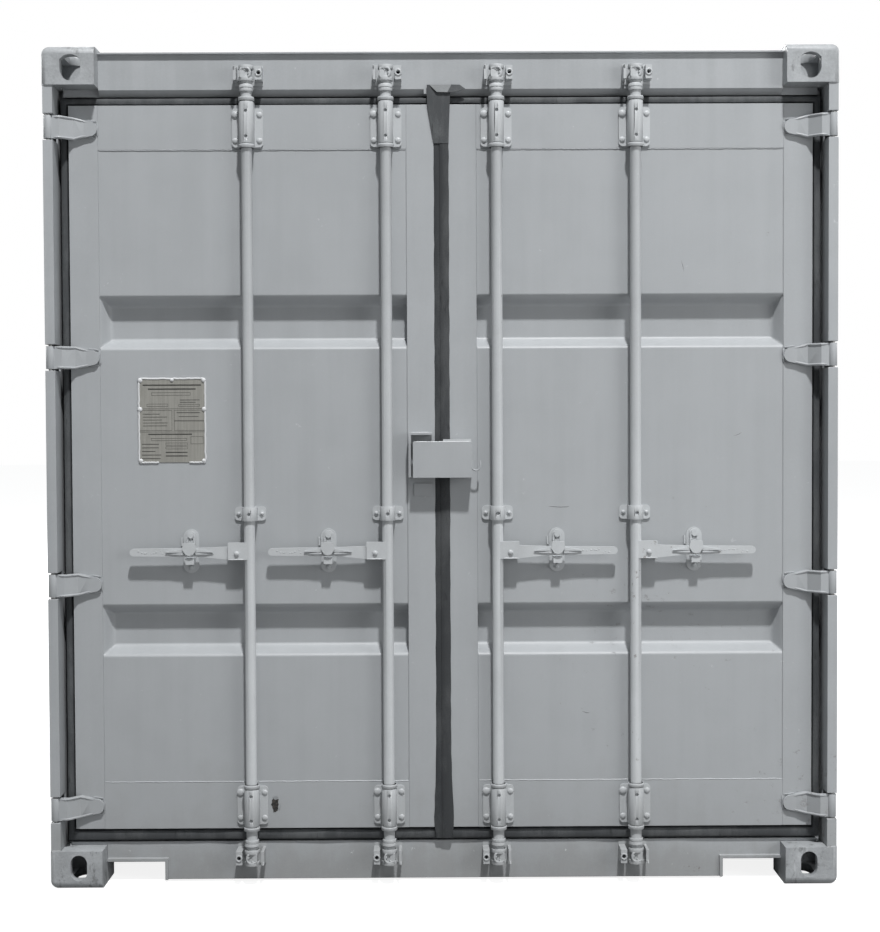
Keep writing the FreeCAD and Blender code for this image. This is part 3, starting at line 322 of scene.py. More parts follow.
@dataclass(frozen=True)
class Paint:
    """Weathered alkyd paint on steel."""

    name: str
    colour: Colour
    mottle: float = 0.10
    streak: float = 0.10
    grime: float = 0.35
    grime_top: float = 0.55
    chips: float = 0.5
    rust: float = 0.35
    roughness: float = 0.46
    relief: float = 0.0007
    dirt_colour: Colour = (0.175, 0.172, 0.162)
    rust_colour: Colour = (0.085, 0.050, 0.032)
    chip_colour: Colour = (0.60, 0.62, 0.63)

    def material(self) -> bpy.types.Material:
        """The paint's node graph: mottling, run marks, dirt at the foot, rubbed spots and rust."""
        g = Graph(self.name)
        broad = g.noise(0.9, 2.0)
        patch = g.noise(7.0, 5.0, rough=0.62)
        speck = g.noise(210.0, 2.0)
        runs = g.noise(17.0, 4.0, (1.0, 1.0, 0.045), 0.6)
        tone = 0.5 + (broad - 0.5) * 0.9 + (patch - 0.5) * 0.7 + (speck - 0.5) * 0.35
        tone = tone + (runs - 0.5) * (self.streak / self.mottle)
        colour = g.tints(self.colour, 1 - self.mottle, 1 + self.mottle, tone.step(0.0, 1.0))
        low = g.z.step(self.grime_top, 0.0)
        dirt = (low * 0.8 + (patch - 0.5) * 1.6 + (runs - 0.5) * 1.2).step(0.15, 0.95) * self.grime
        colour = g.blend(colour, self.dirt_colour, dirt)
        spots = (g.noise(52.0, 5.0, rough=0.7) + (patch - 0.5) * 0.5).step(0.71, 0.76)
        colour = g.blend(colour, self.chip_colour, spots * self.chips)
        bitten = g.noise(31.0, 6.0, rough=0.75) + (broad - 0.5) * 0.5 + low * 0.05
        bitten = bitten.step(0.725, 0.77)
        colour = g.blend(colour, self.rust_colour, bitten * self.rust)
        rough = self.roughness + (patch - 0.5) * 0.25 + dirt * 0.3 + bitten * 0.3
        height = speck * 0.10 + patch * 0.5 + g.noise(2.6, 2.0) * 2.2 - bitten * 0.5
        return g.finish(colour, rough, height, self.relief, Specular_IOR_Level=0.42)


@dataclass(frozen=True)
class CastSteel:
    """Painted cast steel, rubbed by lifting gear."""

    name: str
    colour: Colour
    worn: Colour = (0.50, 0.52, 0.53)
    dark: Colour = (0.115, 0.118, 0.118)

    def material(self) -> bpy.types.Material:
        """The casting's node graph: coarse skin, vertical rubbing and dark scuffs."""
        g = Graph(self.name)
        patch = g.noise(11.0, 6.0, rough=0.66)
        grain = g.noise(130.0, 3.0)
        crown = g.z.step(2.550, 2.590)
        rubs = g.noise(48.0, 5.0, (1.0, 1.0, 0.10), 0.7) + crown * 0.10
        colour = g.tints(self.colour, 0.84, 1.14, (patch * 0.7 + grain * 0.3).step(0.3, 0.7))
        rubs = (rubs + (patch - 0.5) * 0.6).step(0.62, 0.72)
        colour = g.blend(colour, self.worn, rubs * 0.55)
        scuff = g.noise(23.0, 6.0, (1.0, 1.0, 0.5), 0.75) + g.z.step(0.5, 0.0) * 0.05
        colour = g.blend(colour, self.dark, (scuff + crown * 0.06).step(0.60, 0.69) * 0.6)
        height = grain * 0.35 + patch * 1.3
        rough = 0.5 + (patch - 0.5) * 0.3
        return g.finish(colour, rough, height, 0.0016, Specular_IOR_Level=0.4)


@dataclass(frozen=True)
class Rubber:
    """Aged black sealing rubber, greyed by dust and paint mist."""

    name: str
    colour: Colour
    dust: Colour = (0.120, 0.126, 0.130)

    def material(self) -> bpy.types.Material:
        """The rubber's node graph: dusty ribs, and painted crease shade along random streaks."""
        g = Graph(self.name)
        patch = g.noise(14.0, 5.0, (1.0, 1.0, 0.35), 0.65)
        grain = g.noise(320.0, 2.0)
        colour = g.blend(self.colour, self.dust, (patch + (grain - 0.5) * 0.3).step(0.40, 0.72))
        # Painted shade: random vertical streaks darker than the clean rubber, standing in for shade
        # in creases.
        crease_painted_shade = g.noise(60.0, 4.0, (1.0, 1.0, 0.2), 0.6).step(0.62, 0.72)
        colour = g.blend(colour, tinted(self.colour, 0.55), crease_painted_shade * 0.7)
        rough, height = 0.72 + (patch - 0.5) * 0.2, grain * 0.2 + patch
        return g.finish(colour, rough, height, 0.0012, Specular_IOR_Level=0.35)


@dataclass(frozen=True)
class Plywood:
    """Marine plywood floor boards, sealed and scuffed."""

    name: str
    light: Colour = (0.235, 0.135, 0.072)
    dark: Colour = (0.120, 0.062, 0.034)
    scuff: Colour = (0.060, 0.048, 0.040)

    def material(self) -> bpy.types.Material:
        """The boards' node graph: grain along the floor, knots and scuffs."""
        g = Graph(self.name)
        warp = g.noise(1.7, 3.0, (1.0, 0.35, 1.0))
        bands = {"wave_type": "BANDS", "bands_direction": "X"}
        inputs = {"Vector": g.place, "Scale": 7.0, "Distortion": warp * 22.0}
        inputs.update({"Detail": 3.0, "Detail Scale": 1.4})
        grain = g.node("ShaderNodeTexWave", bands, inputs)
        rings = Socket(g, grain.outputs["Fac"])
        fibre = g.noise(70.0, 4.0, (1.0, 0.03, 1.0))
        colour = g.blend(self.dark, self.light, (rings * 0.5 + fibre * 0.7 - 0.1).step(0.0, 1.0))
        worn = g.noise(5.0, 6.0, (1.0, 0.4, 1.0), 0.7).step(0.52, 0.74)
        colour = g.blend(colour, self.scuff, worn * 0.6)
        height = fibre * 0.6 + rings * 0.3
        return g.finish(colour, 0.55 + worn * 0.2, height, 0.0009, Specular_IOR_Level=0.4)


@dataclass(frozen=True)
class Plastic:
    """Moulded vent plastic, chalky from the sun."""

    name: str
    colour: Colour

    def material(self) -> bpy.types.Material:
        """The plastic's node graph: a pebbled skin with chalking."""
        g = Graph(self.name)
        patch = g.noise(26.0, 4.0, rough=0.6)
        pebble = g.noise(700.0, 1.0)
        colour = g.tints(self.colour, 0.9, 1.12, patch.step(0.3, 0.7))
        return g.finish(colour, 0.55 + (patch - 0.5) * 0.2, pebble + patch, 0.0002)


@dataclass(frozen=True)
class BareMetal:
    """Bare or thinly coated metal with brushing, tarnish and dark spots."""

    name: str
    colour: Colour
    tarnish: Colour
    brushing: Point = (1.0, 1.0, 1.0)
    metallic: float = 0.7
    roughness: float = 0.42

    def material(self) -> bpy.types.Material:
        """The metal's node graph: brushing under blotches of tarnish."""
        g = Graph(self.name)
        brush = g.noise(240.0, 2.0, self.brushing)
        patch = g.noise(24.0, 6.0, rough=0.7)
        colour = g.tints(self.colour, 0.93, 1.06, brush.step(0.35, 0.65))
        stain = patch.step(0.50, 0.74)
        colour = g.blend(colour, self.tarnish, stain * 0.55)
        rough = self.roughness + stain * 0.2
        return g.finish(colour, rough, brush * 0.3 + patch * 0.6, 0.0003, Metallic=self.metallic)


@dataclass(frozen=True)
class Blister:
    """Rusty steel under torn paint."""

    name: str
    dark: Colour = (0.020, 0.020, 0.020)
    flake: Colour = (0.090, 0.078, 0.068)

    def material(self) -> bpy.types.Material:
        """The wound's node graph: dark rust with lighter flakes."""
        g = Graph(self.name)
        patch = g.noise(140.0, 6.0, rough=0.75)
        colour = g.blend(self.dark, self.flake, patch.step(0.45, 0.72))
        return g.finish(colour, 0.85 + (patch - 0.5) * 0.2, patch, 0.002)


class Finishes:
    """Every finish of the container, made once."""

    def __init__(self) -> None:
        """Makes the materials and keeps them by their names."""
        # The gear's grey is lighter than the body's though both are painted alike: the extra
        # lightness is painted highlight for light caught by the round rods and plates.
        grey, gear = (0.372, 0.388, 0.402), (0.475, 0.493, 0.506)
        made = (
            Paint("body_paint", grey),
            Paint("door_paint", grey, mottle=0.06, streak=0.05, grime=0.22, chips=0.35, rust=0.2),
            Paint("gear_paint", gear, mottle=0.12, streak=0.04, grime=0.25, chips=0.9, rust=0.45,
                  roughness=0.42, relief=0.0009),
            CastSteel("casting_paint", (0.360, 0.375, 0.388)),
            Rubber("seal_rubber", (0.056, 0.060, 0.064), (0.105, 0.111, 0.115)),
            # One strip rubber in a shaded and a lit copy: the darker left half is painted shade,
            # the lighter right half is painted light.
            Rubber("strip_dark", (0.030, 0.033, 0.036), (0.058, 0.062, 0.065)),
            Rubber("strip_light", (0.039, 0.042, 0.045), (0.074, 0.078, 0.081)),
            Rubber("seal_fold", (0.20, 0.21, 0.215), (0.33, 0.34, 0.35)),
            Paint("sill_paint", tinted(grey, 1.02), mottle=0.14, streak=0.12, grime=0.40,
                  grime_top=0.22, chips=0.8, rust=0.6),
            Plywood("plywood"),
            Plastic("vent_plastic", (0.42, 0.43, 0.43)),
            BareMetal("pin_steel", (0.42, 0.42, 0.41), (0.16, 0.09, 0.05)),
            BareMetal("data_plate_metal", (0.295, 0.291, 0.266), (0.222, 0.218, 0.198),
                      (1.0, 1.0, 0.04), 0.15, 0.5),
            Paint("sealant", (0.62, 0.63, 0.64), mottle=0.05, grime=0.1, chips=0.0, rust=0.0),
            BareMetal("engraving", (0.060, 0.060, 0.055), (0.035, 0.035, 0.033), metallic=0.1),
            Blister("blister"),
        )
        self.materials = {finish.name: finish.material() for finish in made}

    def __getitem__(self, key: str) -> bpy.types.Material:
        """The material of a finish."""
        return self.materials[key]


# ---- meshes -----------------------------------------------------------------------------------


class Shape:
    """A mesh in the making, in the container's own coordinates."""

    def __init__(self) -> None:
        """Starts an empty mesh."""
        self.bm = bmesh.new()

    def skin(self, rings: Sequence[Sequence[Any]], caps: bool = True) -> None:
        """Joins closed rings of points into a surface.

        Args:
            rings: equally long lists of points, one after another.
            caps: whether the first and last ring are filled.
        """
        rows = [[self.bm.verts.new(p) for p in ring] for ring in rings]
        count = len(rows[0])
        for first, second in zip(rows, rows[1:]):
            for i in range(count):
                j = (i + 1) % count
                self.bm.faces.new((first[i], first[j], second[j], second[i]))
        if caps:
            self.bm.faces.new(rows[0][::-1])
            self.bm.faces.new(rows[-1])

    def prism(self, outline: Sequence[Flat], axis: Axis, start: float, end: float) -> None:
        """An outline in the other two directions, swept along an axis.

        Args:
            outline: the corners, as the two coordinates that the axis leaves, in X, Y, Z order.
            axis: the direction of the sweep.
            start: where the sweep starts.
            end: where it ends.
        """

        def ring(along: float) -> list[Vector]:
            """The outline at one place of the sweep."""
            at = axis.value
            return [Vector((*corner[:at], along, *corner[at:])) for corner in outline]

        self.skin([ring(start), ring(end)])

    def slab(self, low: Sequence[float], high: Sequence[float]) -> None:
        """A plain block between two corners, for plates that get their edges from a bevel."""
        corners = [(low[0], low[1]), (high[0], low[1]), (high[0], high[1]), (low[0], high[1])]
        self.prism(corners, Axis.Z, low[2], high[2])

    def turned(
        self, foot: Sequence[float], axis: Axis, profile: Sequence[Flat], count: int = 20
    ) -> None:
        """A turned shape.

        Args:
            foot: the point that the profile's distances are measured from.
            axis: the direction that it stands along.
            profile: pairs of radius and distance along the axis.
            count: how many corners go round.
        """
        rings = []
        for radius, along in profile:
            ring = []
            for i in range(count):
                angle = math.tau * i / count
                spread = [radius * math.cos(angle), radius * math.sin(angle)]
                spread.insert(axis.value, along)
                ring.append(Vector(foot) + Vector(spread))
            rings.append(ring)
        self.skin(rings)

    def dome(self, foot: Vector, radius: float, height: float, washer: float = 0.0) -> None:
        """A round rivet or bolt head that stands out in front of the doors.

        Args:
            foot: the middle of its foot.
            radius: its radius.
            height: how far it stands out.
            washer: the radius of a washer under it, or 0.
        """
        base = 0.0
        if washer:
            base = 0.0015
            rim = [(washer, 0.001), (washer, -base), (radius, -base - 1e-4)]
            self.turned(foot, Axis.Y, rim)
        steps = [(math.cos(a), math.sin(a)) for a in (0.0, 0.5, 0.9, 1.25, 1.5)]
        profile = [(radius * c, -base - height * s) for c, s in steps]
        self.turned(foot, Axis.Y, [(radius, 0.001), *profile])

    def tube(
        self, path: Sequence[Sequence[float]], radius: float, count: int = 8, ends: float = 1.0
    ) -> None:
        """A round bar along a path.

        Args:
            path: the points of its middle line.
            radius: its radius.
            count: how many corners go round.
            ends: a factor on the radius at both ends.
        """
        points = [Vector(p) for p in path]
        last = len(points) - 1
        turns = [math.tau * k / count for k in range(count)]
        rings = []
        for i, point in enumerate(points):
            way = (points[min(i + 1, last)] - points[max(i - 1, 0)]).normalized()
            level = way.cross(Vector((0, 1, 0))).normalized()
            side = way.orthogonal() if abs(way.y) > 0.9 else level
            up = way.cross(side.normalized())
            size = radius * (ends if i in (0, last) else 1.0)
            ring = [point + side * size * math.cos(t) + up * size * math.sin(t) for t in turns]
            rings.append(ring)
        self.skin(rings)

    def bead(
        self, start: Sequence[float], end: Sequence[float], size: Flat, seed: int,
        out: Sequence[float] = FRONT, pitch: float = 0.007,
    ) -> None:
        """A rippled weld bead along a straight seam.

        Args:
            start: one end of the seam.
            end: its other end.
            size: the bead's width, and how far it stands out.
            seed: the start of its random draws.
            out: the direction away from the surface.
            pitch: the length of a ripple.
        """
        width, height = size
        draw = random.Random(seed)
        a, b, away = Vector(start), Vector(end), Vector(out).normalized()
        across = (b - a).normalized().cross(away)
        steps = max(3, int((b - a).length / pitch))
        section = ((-1.0, 0.0), (-0.62, 0.72), (0.0, 1.0), (0.62, 0.72), (1.0, 0.0))
        rings = []
        for i in range(steps + 1):
            at = a.lerp(b, i / steps) + across * draw.uniform(-0.12, 0.12) * width
            fat = 0.55 if i in (0, steps) else draw.uniform(0.82, 1.12)
            fat *= 1.0 if i % 2 else 0.86
            rings.append([
                at + across * width / 2 * fat * u + away * (height * fat * v - 0.0006)
                for u, v in section
            ])
        self.skin(rings)

    def hull(self, points: Sequence[Sequence[float]]) -> None:
        """The solid that a set of corner points spans."""
        verts = [self.bm.verts.new(p) for p in points]
        made = bmesh.ops.convex_hull(self.bm, input=verts)
        spare = made["geom_interior"] + made["geom_unused"]
        inside = [v for v in spare if isinstance(v, bmesh.types.BMVert)]
        if inside:
            bmesh.ops.delete(self.bm, geom=inside, context="VERTS")

    def object(self, name: str, smooth: float = 40.0) -> bpy.types.Object:
        """Ends the mesh as an object of the scene.

        Args:
            name: the piece's name.
            smooth: the angle in degrees above which an edge is sharp.

        Returns:
            The object, with its origin at the container's.
        """
        bmesh.ops.recalc_face_normals(self.bm, faces=self.bm.faces)
        mesh = bpy.data.meshes.new(name)
        self.bm.to_mesh(mesh)
        self.bm.free()
        mesh.shade_smooth()
        mesh.set_sharp_from_angle(angle=math.radians(smooth))
        made = bpy.data.objects.new(name, mesh)
        bpy.context.scene.collection.objects.link(made)
        return made


def rounded(low: Flat, high: Flat, radius: float, steps: int = 4) -> list[Flat]:
    """The outline of a rectangle with round corners.

    Args:
        low: its lowest corner.
        high: its highest corner.
        radius: the corners' radius.
        steps: how many pieces each corner has.

    Returns:
        The outline's points.
    """
    middles = [
        (high[0] - radius, high[1] - radius), (low[0] + radius, high[1] - radius),
        (low[0] + radius, low[1] + radius), (high[0] - radius, low[1] + radius),
    ]
    points = []
    for quarter, (u, v) in enumerate(middles):
        for step in range(steps + 1):
            angle = math.pi / 2 * (quarter + step / steps)
            points.append((u + radius * math.cos(angle), v + radius * math.sin(angle)))
    return points


def ramp(value: float, start: float, end: float, soft: float) -> float:
    """A straight ramp from 0 to 1 whose two corners are rounded.

    Args:
        value: where it is read.
        start: where it leaves 0.
        end: where it reaches 1.
        soft: the reach of the rounding.

    Returns:
        A number from 0 to 1.
    """
    shares = (-1.0, -0.5, 0.0, 0.5, 1.0)
    readings = [(value + soft * share - start) / (end - start) for share in shares]
    return sum(min(1.0, max(0.0, reading)) for reading in readings) / len(shares)


# ---- sub-assemblies ---------------------------------------------------------------------------


@dataclass
class Assembly:
    """A group of pieces that shares the container's finishes."""

    finishes: Finishes

    @staticmethod
    def soften(piece: bpy.types.Object, width: float, harden: bool) -> None:
        """Breaks a piece's edges with a bevel.

        Args:
            piece: the piece.
            width: the bevel's width.
            harden: whether the flat faces keep their own normals.
        """
        bevel = piece.modifiers.new("edges", "BEVEL")
        bevel.width, bevel.segments = width, 2
        bevel.limit_method, bevel.angle_limit = "ANGLE", BEVEL_ANGLE
        bevel.harden_normals = harden

    def dress(self, node: str, finish: str, edge: float = 0.0) -> None:
        """Gives a CAD node its finish and breaks its edges.

        Args:
            node: the node's name.
            finish: the finish's name.
            edge: the width of the broken edges, or 0.
        """
        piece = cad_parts[node]
        for slot in piece.material_slots:
            slot.material = self.finishes[finish]
        if edge:
            piece.modifiers.new("weld", "WELD").merge_threshold = 1e-5
            self.soften(piece, edge, True)
        LOG.info("%s: frame node in %s", node, finish)

    def add(
        self, shape: Shape, name: str, body: str, slot: str, finish: str = "", edge: float = 0.0,
        smooth: float = 40.0, replaces: Sequence[str] = (),
    ) -> None:
        """Turns a shape into a piece of the container.

        Args:
            shape: its mesh.
            name: the piece's name.
            body: the CAD body that it rides on.
            slot: the record's material slot, which here only picks the finish when none is given.
            finish: the finish, if it isn't named as the slot.
            edge: the width of its broken edges, or 0.
            smooth: the angle above which an edge is sharp.
            replaces: CAD nodes that it stands for.
        """
        piece = shape.object(name, smooth)
        piece.data.materials.append(self.finishes[finish or slot])
        if edge:
            self.soften(piece, edge, False)
        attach(piece, body)
        if replaces:
            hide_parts(*replaces)
        faces = len(piece.data.polygons)
        LOG.info("%s: %d faces on %s in %s", name, faces, body, finish or slot)


@dataclass
class CornerCastings(Assembly):
    """The eight corner castings and the welds that hold them."""

    bead: Flat = (0.008, 0.003)
    post_run: float = 0.03
    header_run: Flat = (2.470, 2.560)
    sill_run: Flat = (0.070, 0.126)

    def build(self) -> None:
        """Dresses the castings and lays the weld beads round their joints."""
        for node in ("bottom_corner_castings", "top_corner_castings"):
            self.dress(node, "casting_paint", 0.0022)
        low, high = Box.of("bottom_corner_castings"), Box.of("top_corner_castings")
        post, inner = Box.of("right_rear_post"), Box.of("door_header").high.x
        outer, front = post.high.x, post.low.y
        sill = Box.of("door_sill").low.y
        upright = ((7, deep(0.06), self.header_run), (8, sill, self.sill_run))
        beads = Shape()
        for side in (1, -1):
            for seed, z in enumerate((low.high.z, high.low.z)):
                start = (side * (outer - self.post_run), front, z)
                beads.bead(start, (side * outer, front, z), self.bead, seed)
            for seed, y, run in upright:
                beads.bead(*((side * inner, y, z) for z in run), self.bead, seed)
        self.add(beads, "casting_welds", "box_body", "body_paint")


@dataclass
class Frame(Assembly):
    """Posts, rails, header, sill and base."""

    seam: Flat = (0.006, 0.0028)
    seam_pitch: float = 0.016
    tab: tuple[Point, Point] = ((-0.053, 0.0600, 2.452), (-0.0405, 0.0700, 2.4685))

    def build(self) -> None:
        """Dresses the frame's nodes and adds its seams and the header's tab."""
        edges = {
            "right_rear_post": 0.0018, "left_rear_post": 0.0018, "front_posts": 0.002,
            "door_header": 0.0015, "door_sill": 0.002, "front_header": 0.0015,
            "front_sill": 0.002, "top_side_rails": 0.001, "bottom_side_rails": 0.0015,
            "cross_members": 0.0012, "fork_pockets": 0.002, "roof_corner_plates": 0.001,
        }
        for node, edge in edges.items():
            self.dress(node, "sill_paint" if node == "door_sill" else "body_paint", edge)
        self.dress("cam_keepers", "gear_paint", 0.0009)
        self.dress("hinge_pins", "pin_steel")
        self.side_seams()
        self.header_tab()

    def side_seams(self) -> None:
        """The long welds between the side panels and their rails."""
        panel, rail = Box.of("right_side_panel"), Box.of("top_side_rails")
        for side in Side:
            seams = Shape()
            x = side.value * (panel.high.x - 0.0005)
            for seed, z in enumerate((panel.low.z + 0.001, rail.low.z - 0.001)):
                ends = [(x, y, z) for y in (panel.low.y + 0.004, panel.high.y - 0.004)]
                seams.bead(*ends, self.seam, seed + 11, (side.value, 0, 0), self.seam_pitch)
            self.add(seams, f"{side.word}_panel_welds", "box_body", "body_paint")

    def header_tab(self) -> None:
        """The small bent tab beside the seal at the header's lower edge."""
        tab = Shape()
        tab.slab(*(spot(*corner) for corner in self.tab))
        self.add(tab, "header_tab", "box_body", "body_paint", edge=0.0012)


@dataclass
class SheetPanels(Assembly):
    """Sides, front end, roof, floor and vents."""

    screw_radius: float = 0.006
    screw_rows: int = 18
    screw_lines: int = 15
    screw_margin: float = 0.06
    louvre_pitch: float = 0.018

    def build(self) -> None:
        """Dresses the sheets and adds floor screws and vent louvres."""
        for node in ("right_side_panel", "left_side_panel", "front_panel", "roof_panel"):
            self.dress(node, "body_paint")
        self.dress("floor_boards", "plywood", 0.0012)
        self.dress("ventilators", "vent_plastic", 0.0025)
        self.floor_screws()
        self.louvres()

    def floor_screws(self) -> None:
        """Screw heads in even rows across the boards."""
        floor, radius = Box.of("floor_boards"), self.screw_radius
        span = floor.high.x - floor.low.x
        length = floor.high.y - floor.low.y - 2 * self.screw_margin
        head = [(radius, -0.002), (radius, 0.0003), (radius * 0.5, 0.0006)]
        screws = Shape()
        for row in range(self.screw_rows):
            y = floor.low.y + self.screw_margin + length * row / (self.screw_rows - 1)
            for line in range(self.screw_lines):
                x = floor.low.x + span * (line + 0.5) / self.screw_lines
                screws.turned((x, y, floor.high.z), Axis.Z, head, 8)
        self.add(screws, "floor_screws", "box_body", "pin_steel")

    def louvres(self) -> None:
        """Hooded slits on the four vent boxes."""
        corners = [vertex.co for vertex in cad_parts["ventilators"].data.vertices]
        hoods = Shape()
        for right, rear in sorted({(c.x > 0, c.y > 0) for c in corners}):
            inside = [c for c in corners if (c.x > 0) == right and (c.y > 0) == rear]
            low = Vector([min(c[i] for c in inside) for i in range(3)])
            high = Vector([max(c[i] for c in inside) for i in range(3)])
            face, way = (high.x, 1) if right else (low.x, -1)
            back, front = face - way * 0.001, face + way * 0.0025
            for i in range(int((high.z - low.z - 0.03) / self.louvre_pitch)):
                z = low.z + 0.020 + i * self.louvre_pitch
                outline = [(back, z), (front, z + 0.001), (back, z + 0.010)]
                hoods.prism(outline, Axis.Y, low.y + 0.009, high.y - 0.009)
        self.add(hoods, "vent_louvres", "box_body", "vent_plastic")


@dataclass
class DoorLeaf(Assembly):
    """One door leaf: its sheet, frame seams, seal and hinges."""

    side: Side = Side.RIGHT
    sheet: float = 0.002
    trough_depth: float = 0.044
    slope: float = 0.025
    fold: float = 0.006
    end_slope: float = 0.026
    troughs: tuple[Flat, Flat] = ((0.718, 0.871), (1.673, 1.830))
    bead: Flat = (0.0050, 0.0034)
    seal_section: tuple[Flat, ...] = (
        (0.00, 0.0880), (0.14, 0.0880), (0.18, 0.0730), (0.26, 0.0672), (0.45, 0.0663),
        (0.84, 0.0665), (0.95, 0.0690), (1.00, 0.0760), (1.00, 0.0980), (0.90, 0.1060),
        (0.50, 0.1125), (0.00, 0.1128),
    )
    seal_back: float = 0.1129
    strip_span: Flat = (0.139, 2.455)
    strip_steps: int = 70
    hinges: tuple[float, ...] = (0.246, 0.940, 1.643, 2.347)
    hinge_bead: Flat = (0.007, 0.0045)
    rim: tuple[Point, ...] = (
        (1.184, 0.012, 0.0350), (1.175, 0.012, 0.0350), (1.167, 0.012, 0.0350),
        (1.158, 0.021, 0.0350), (1.150, 0.029, 0.0350), (1.142, 0.037, 0.0350),
        (1.133, 0.046, 0.0350), (1.120, 0.047, 0.0319), (1.108, 0.048, 0.0290),
        (1.094, 0.048, 0.0256),
    )

    def build(self) -> None:
        """Builds the leaf in the order sheet, seams, seal, strip and hinges."""
        word = self.side.word
        for node in (f"{word}_door_stiles", f"{word}_door_rails"):
            self.dress(node, "door_paint", 0.0011)
        self.dress(f"{word}_hinge_blades", "door_paint", 0.0016)
        self.pressed_sheet()
        self.seams()
        self.seal()
        self.centre_strip()
        self.hinge_details()

    @staticmethod
    def span(box: Box) -> tuple[float, float]:
        """A box's nearest and farthest distance from the container's middle."""
        return tuple(sorted((abs(box.low.x), abs(box.high.x))))

    def hollow(self, x: float, z: float, hinge_edge: float) -> float:
        """How deep the sheet is pressed in at a point.

        Args:
            x: the distance from the container's middle.
            z: the height.
            hinge_edge: where the sheet ends at the hinge side.

        Returns:
            The depth below the sheet's face.
        """
        deepest = 0.0
        for low, high in self.troughs:
            rise = ramp(z, low, low + self.slope, self.fold)
            fall = ramp(-z, -high, -high + self.slope, self.fold)
            deepest = max(deepest, min(rise, fall))
        run_out = ramp(-x, -hinge_edge, -hinge_edge + self.end_slope, self.fold)
        return self.trough_depth * min(deepest, run_out)

    def pressed_sheet(self) -> None:
        """The door sheet, with two pressed troughs that run out at the hinge side."""
        node = f"{self.side.word}_door_panel"
        box, way = Box.of(node), self.side.value
        near, far = self.span(box)
        columns = [near, near + 0.3, near + 0.6]
        columns += [far - self.end_slope - 0.012 + 0.004 * i for i in range(10)] + [far]
        heights = [box.low.z, box.high.z, 0.45, 0.62, 1.0, 1.15, 1.3, 1.5, 2.0, 2.15]
        for low, high in self.troughs:
            for edge in (low, low + self.slope, high - self.slope, high):
                heights += [edge + 0.002 * step for step in range(-5, 6)]
        rings = []
        for z in sorted(set(round(h, 5) for h in heights)):
            face = [Vector((way * x, box.low.y + self.hollow(x, z, far), z)) for x in columns]
            back = [point + Vector((0.0, self.sheet, 0.0)) for point in reversed(face)]
            rings.append(face + back)
        sheet = Shape()
        sheet.skin(rings)
        name = f"{self.side.word}_door_sheet"
        self.add(sheet, name, self.side.door, "door_paint", smooth=60.0, replaces=[node])

    def seams(self) -> None:
        """The welds round the sheet, broken where the troughs run back."""
        box, way = Box.of(f"{self.side.word}_door_panel"), self.side.value
        near, far = self.span(box)
        y, seams = box.low.y, Shape()
        for seed, z in enumerate((box.low.z + 0.002, box.high.z - 0.002)):
            seams.bead((way * near, y, z), (way * far, y, z), self.bead, seed + 21)
        thin = (self.bead[0] * 0.55, self.bead[1] * 0.5)
        stops = [box.low.z, *self.troughs[0], *self.troughs[1], box.high.z]
        for x in (near + 0.001, far - 0.001):
            for low, high in zip(stops[::2], stops[1::2]):
                seams.bead((way * x, y, low), (way * x, y, high), thin, int(x * 100))
        self.add(seams, f"{self.side.word}_door_welds", self.side.door, "door_paint")

    def seal(self) -> None:
        """The lipped rubber seal round the leaf, with a hollow between its two ribs."""
        node = f"{self.side.word}_door_gasket"
        ring, leaf = Box.of(node), Box.of(f"{self.side.word}_door_stiles")
        draw = random.Random(31 + self.side.value)
        corners = [
            (leaf.low.x, leaf.low.z, ring.low.x, ring.low.z),
            (leaf.high.x, leaf.low.z, ring.high.x, ring.low.z),
            (leaf.high.x, leaf.high.z, ring.high.x, ring.high.z),
            (leaf.low.x, leaf.high.z, ring.low.x, ring.high.z),
        ]
        rings = []
        for i, corner in enumerate(corners):
            after = corners[(i + 1) % 4]
            steps = 30 if i % 2 else 16
            for step in range(steps):
                x0, z0, x1, z1 = (a + (b - a) * (step / steps) for a, b in zip(corner, after))
                sway = draw.uniform(-0.04, 0.04) if step else 0.0
                dip = draw.uniform(0.0, 0.0022) if step else 0.0
                points = []
                for out, depth in self.seal_section:
                    u = min(1.0, max(0.0, out + (sway if 0.2 < out < 0.8 else 0.0)))
                    depth = min(depth + dip, self.seal_back)
                    points.append(spot(x0 + (x1 - x0) * u, depth, z0 + (z1 - z0) * u))
                rings.append(points)
        made = Shape()
        made.skin(rings + [rings[0]], caps=False)
        bmesh.ops.remove_doubles(made.bm, verts=made.bm.verts, dist=1e-6)
        name = f"{self.side.word}_door_seal"
        self.add(made, name, self.side.door, "seal_rubber", smooth=50.0, replaces=[node])

    def centre_strip(self) -> None:
        """The half of the closing strip that this leaf carries down the middle."""
        way, right = self.side.value, self.side is Side.RIGHT
        edge = self.span(Box.of(f"{self.side.word}_door_stiles"))[0]
        bottom, top = self.strip_span
        lead, lift = (-0.0060, -0.0022) if right else (0.0006, 0.0)
        draw = random.Random(41 + way)
        rings = []
        for i in range(self.strip_steps + 1):
            z = bottom + (top - bottom) * i / self.strip_steps
            foot = 0.0085 * ramp(-z, -0.42, -0.16, 0.03) * ramp(z, 0.15, 0.17, 0.01)
            reach = edge + 0.0012 + foot + draw.uniform(-0.0009, 0.0009)
            face = 0.0598 + lift + draw.uniform(-0.0003, 0.0003)
            face -= 0.002 if foot > 0.001 else 0.0
            profile = [
                (lead, face + 0.0014), (lead + 0.0012, face), (edge * 0.55, face - 0.0008),
                (reach - 0.002, face - 0.0004), (reach, min(face + 0.0010, 0.0597)),
                (reach - 0.0006, 0.0599), (edge - 0.0006, 0.0600), (edge - 0.0010, 0.0700),
                (0.0012, 0.0700), (0.0010, face + 0.0030),
            ]
            rings.append([spot(way * x, depth, z) for x, depth in profile])
        strip = Shape()
        strip.skin(rings)
        # The left leaf's half takes the painted shade copy, and the right leaf's half the painted
        # lit copy, of one rubber.
        name, finish = f"{self.side.word}_closing_strip", "strip_light" if right else "strip_dark"
        self.add(strip, name, self.side.door, "seal_rubber", finish, smooth=50.0)

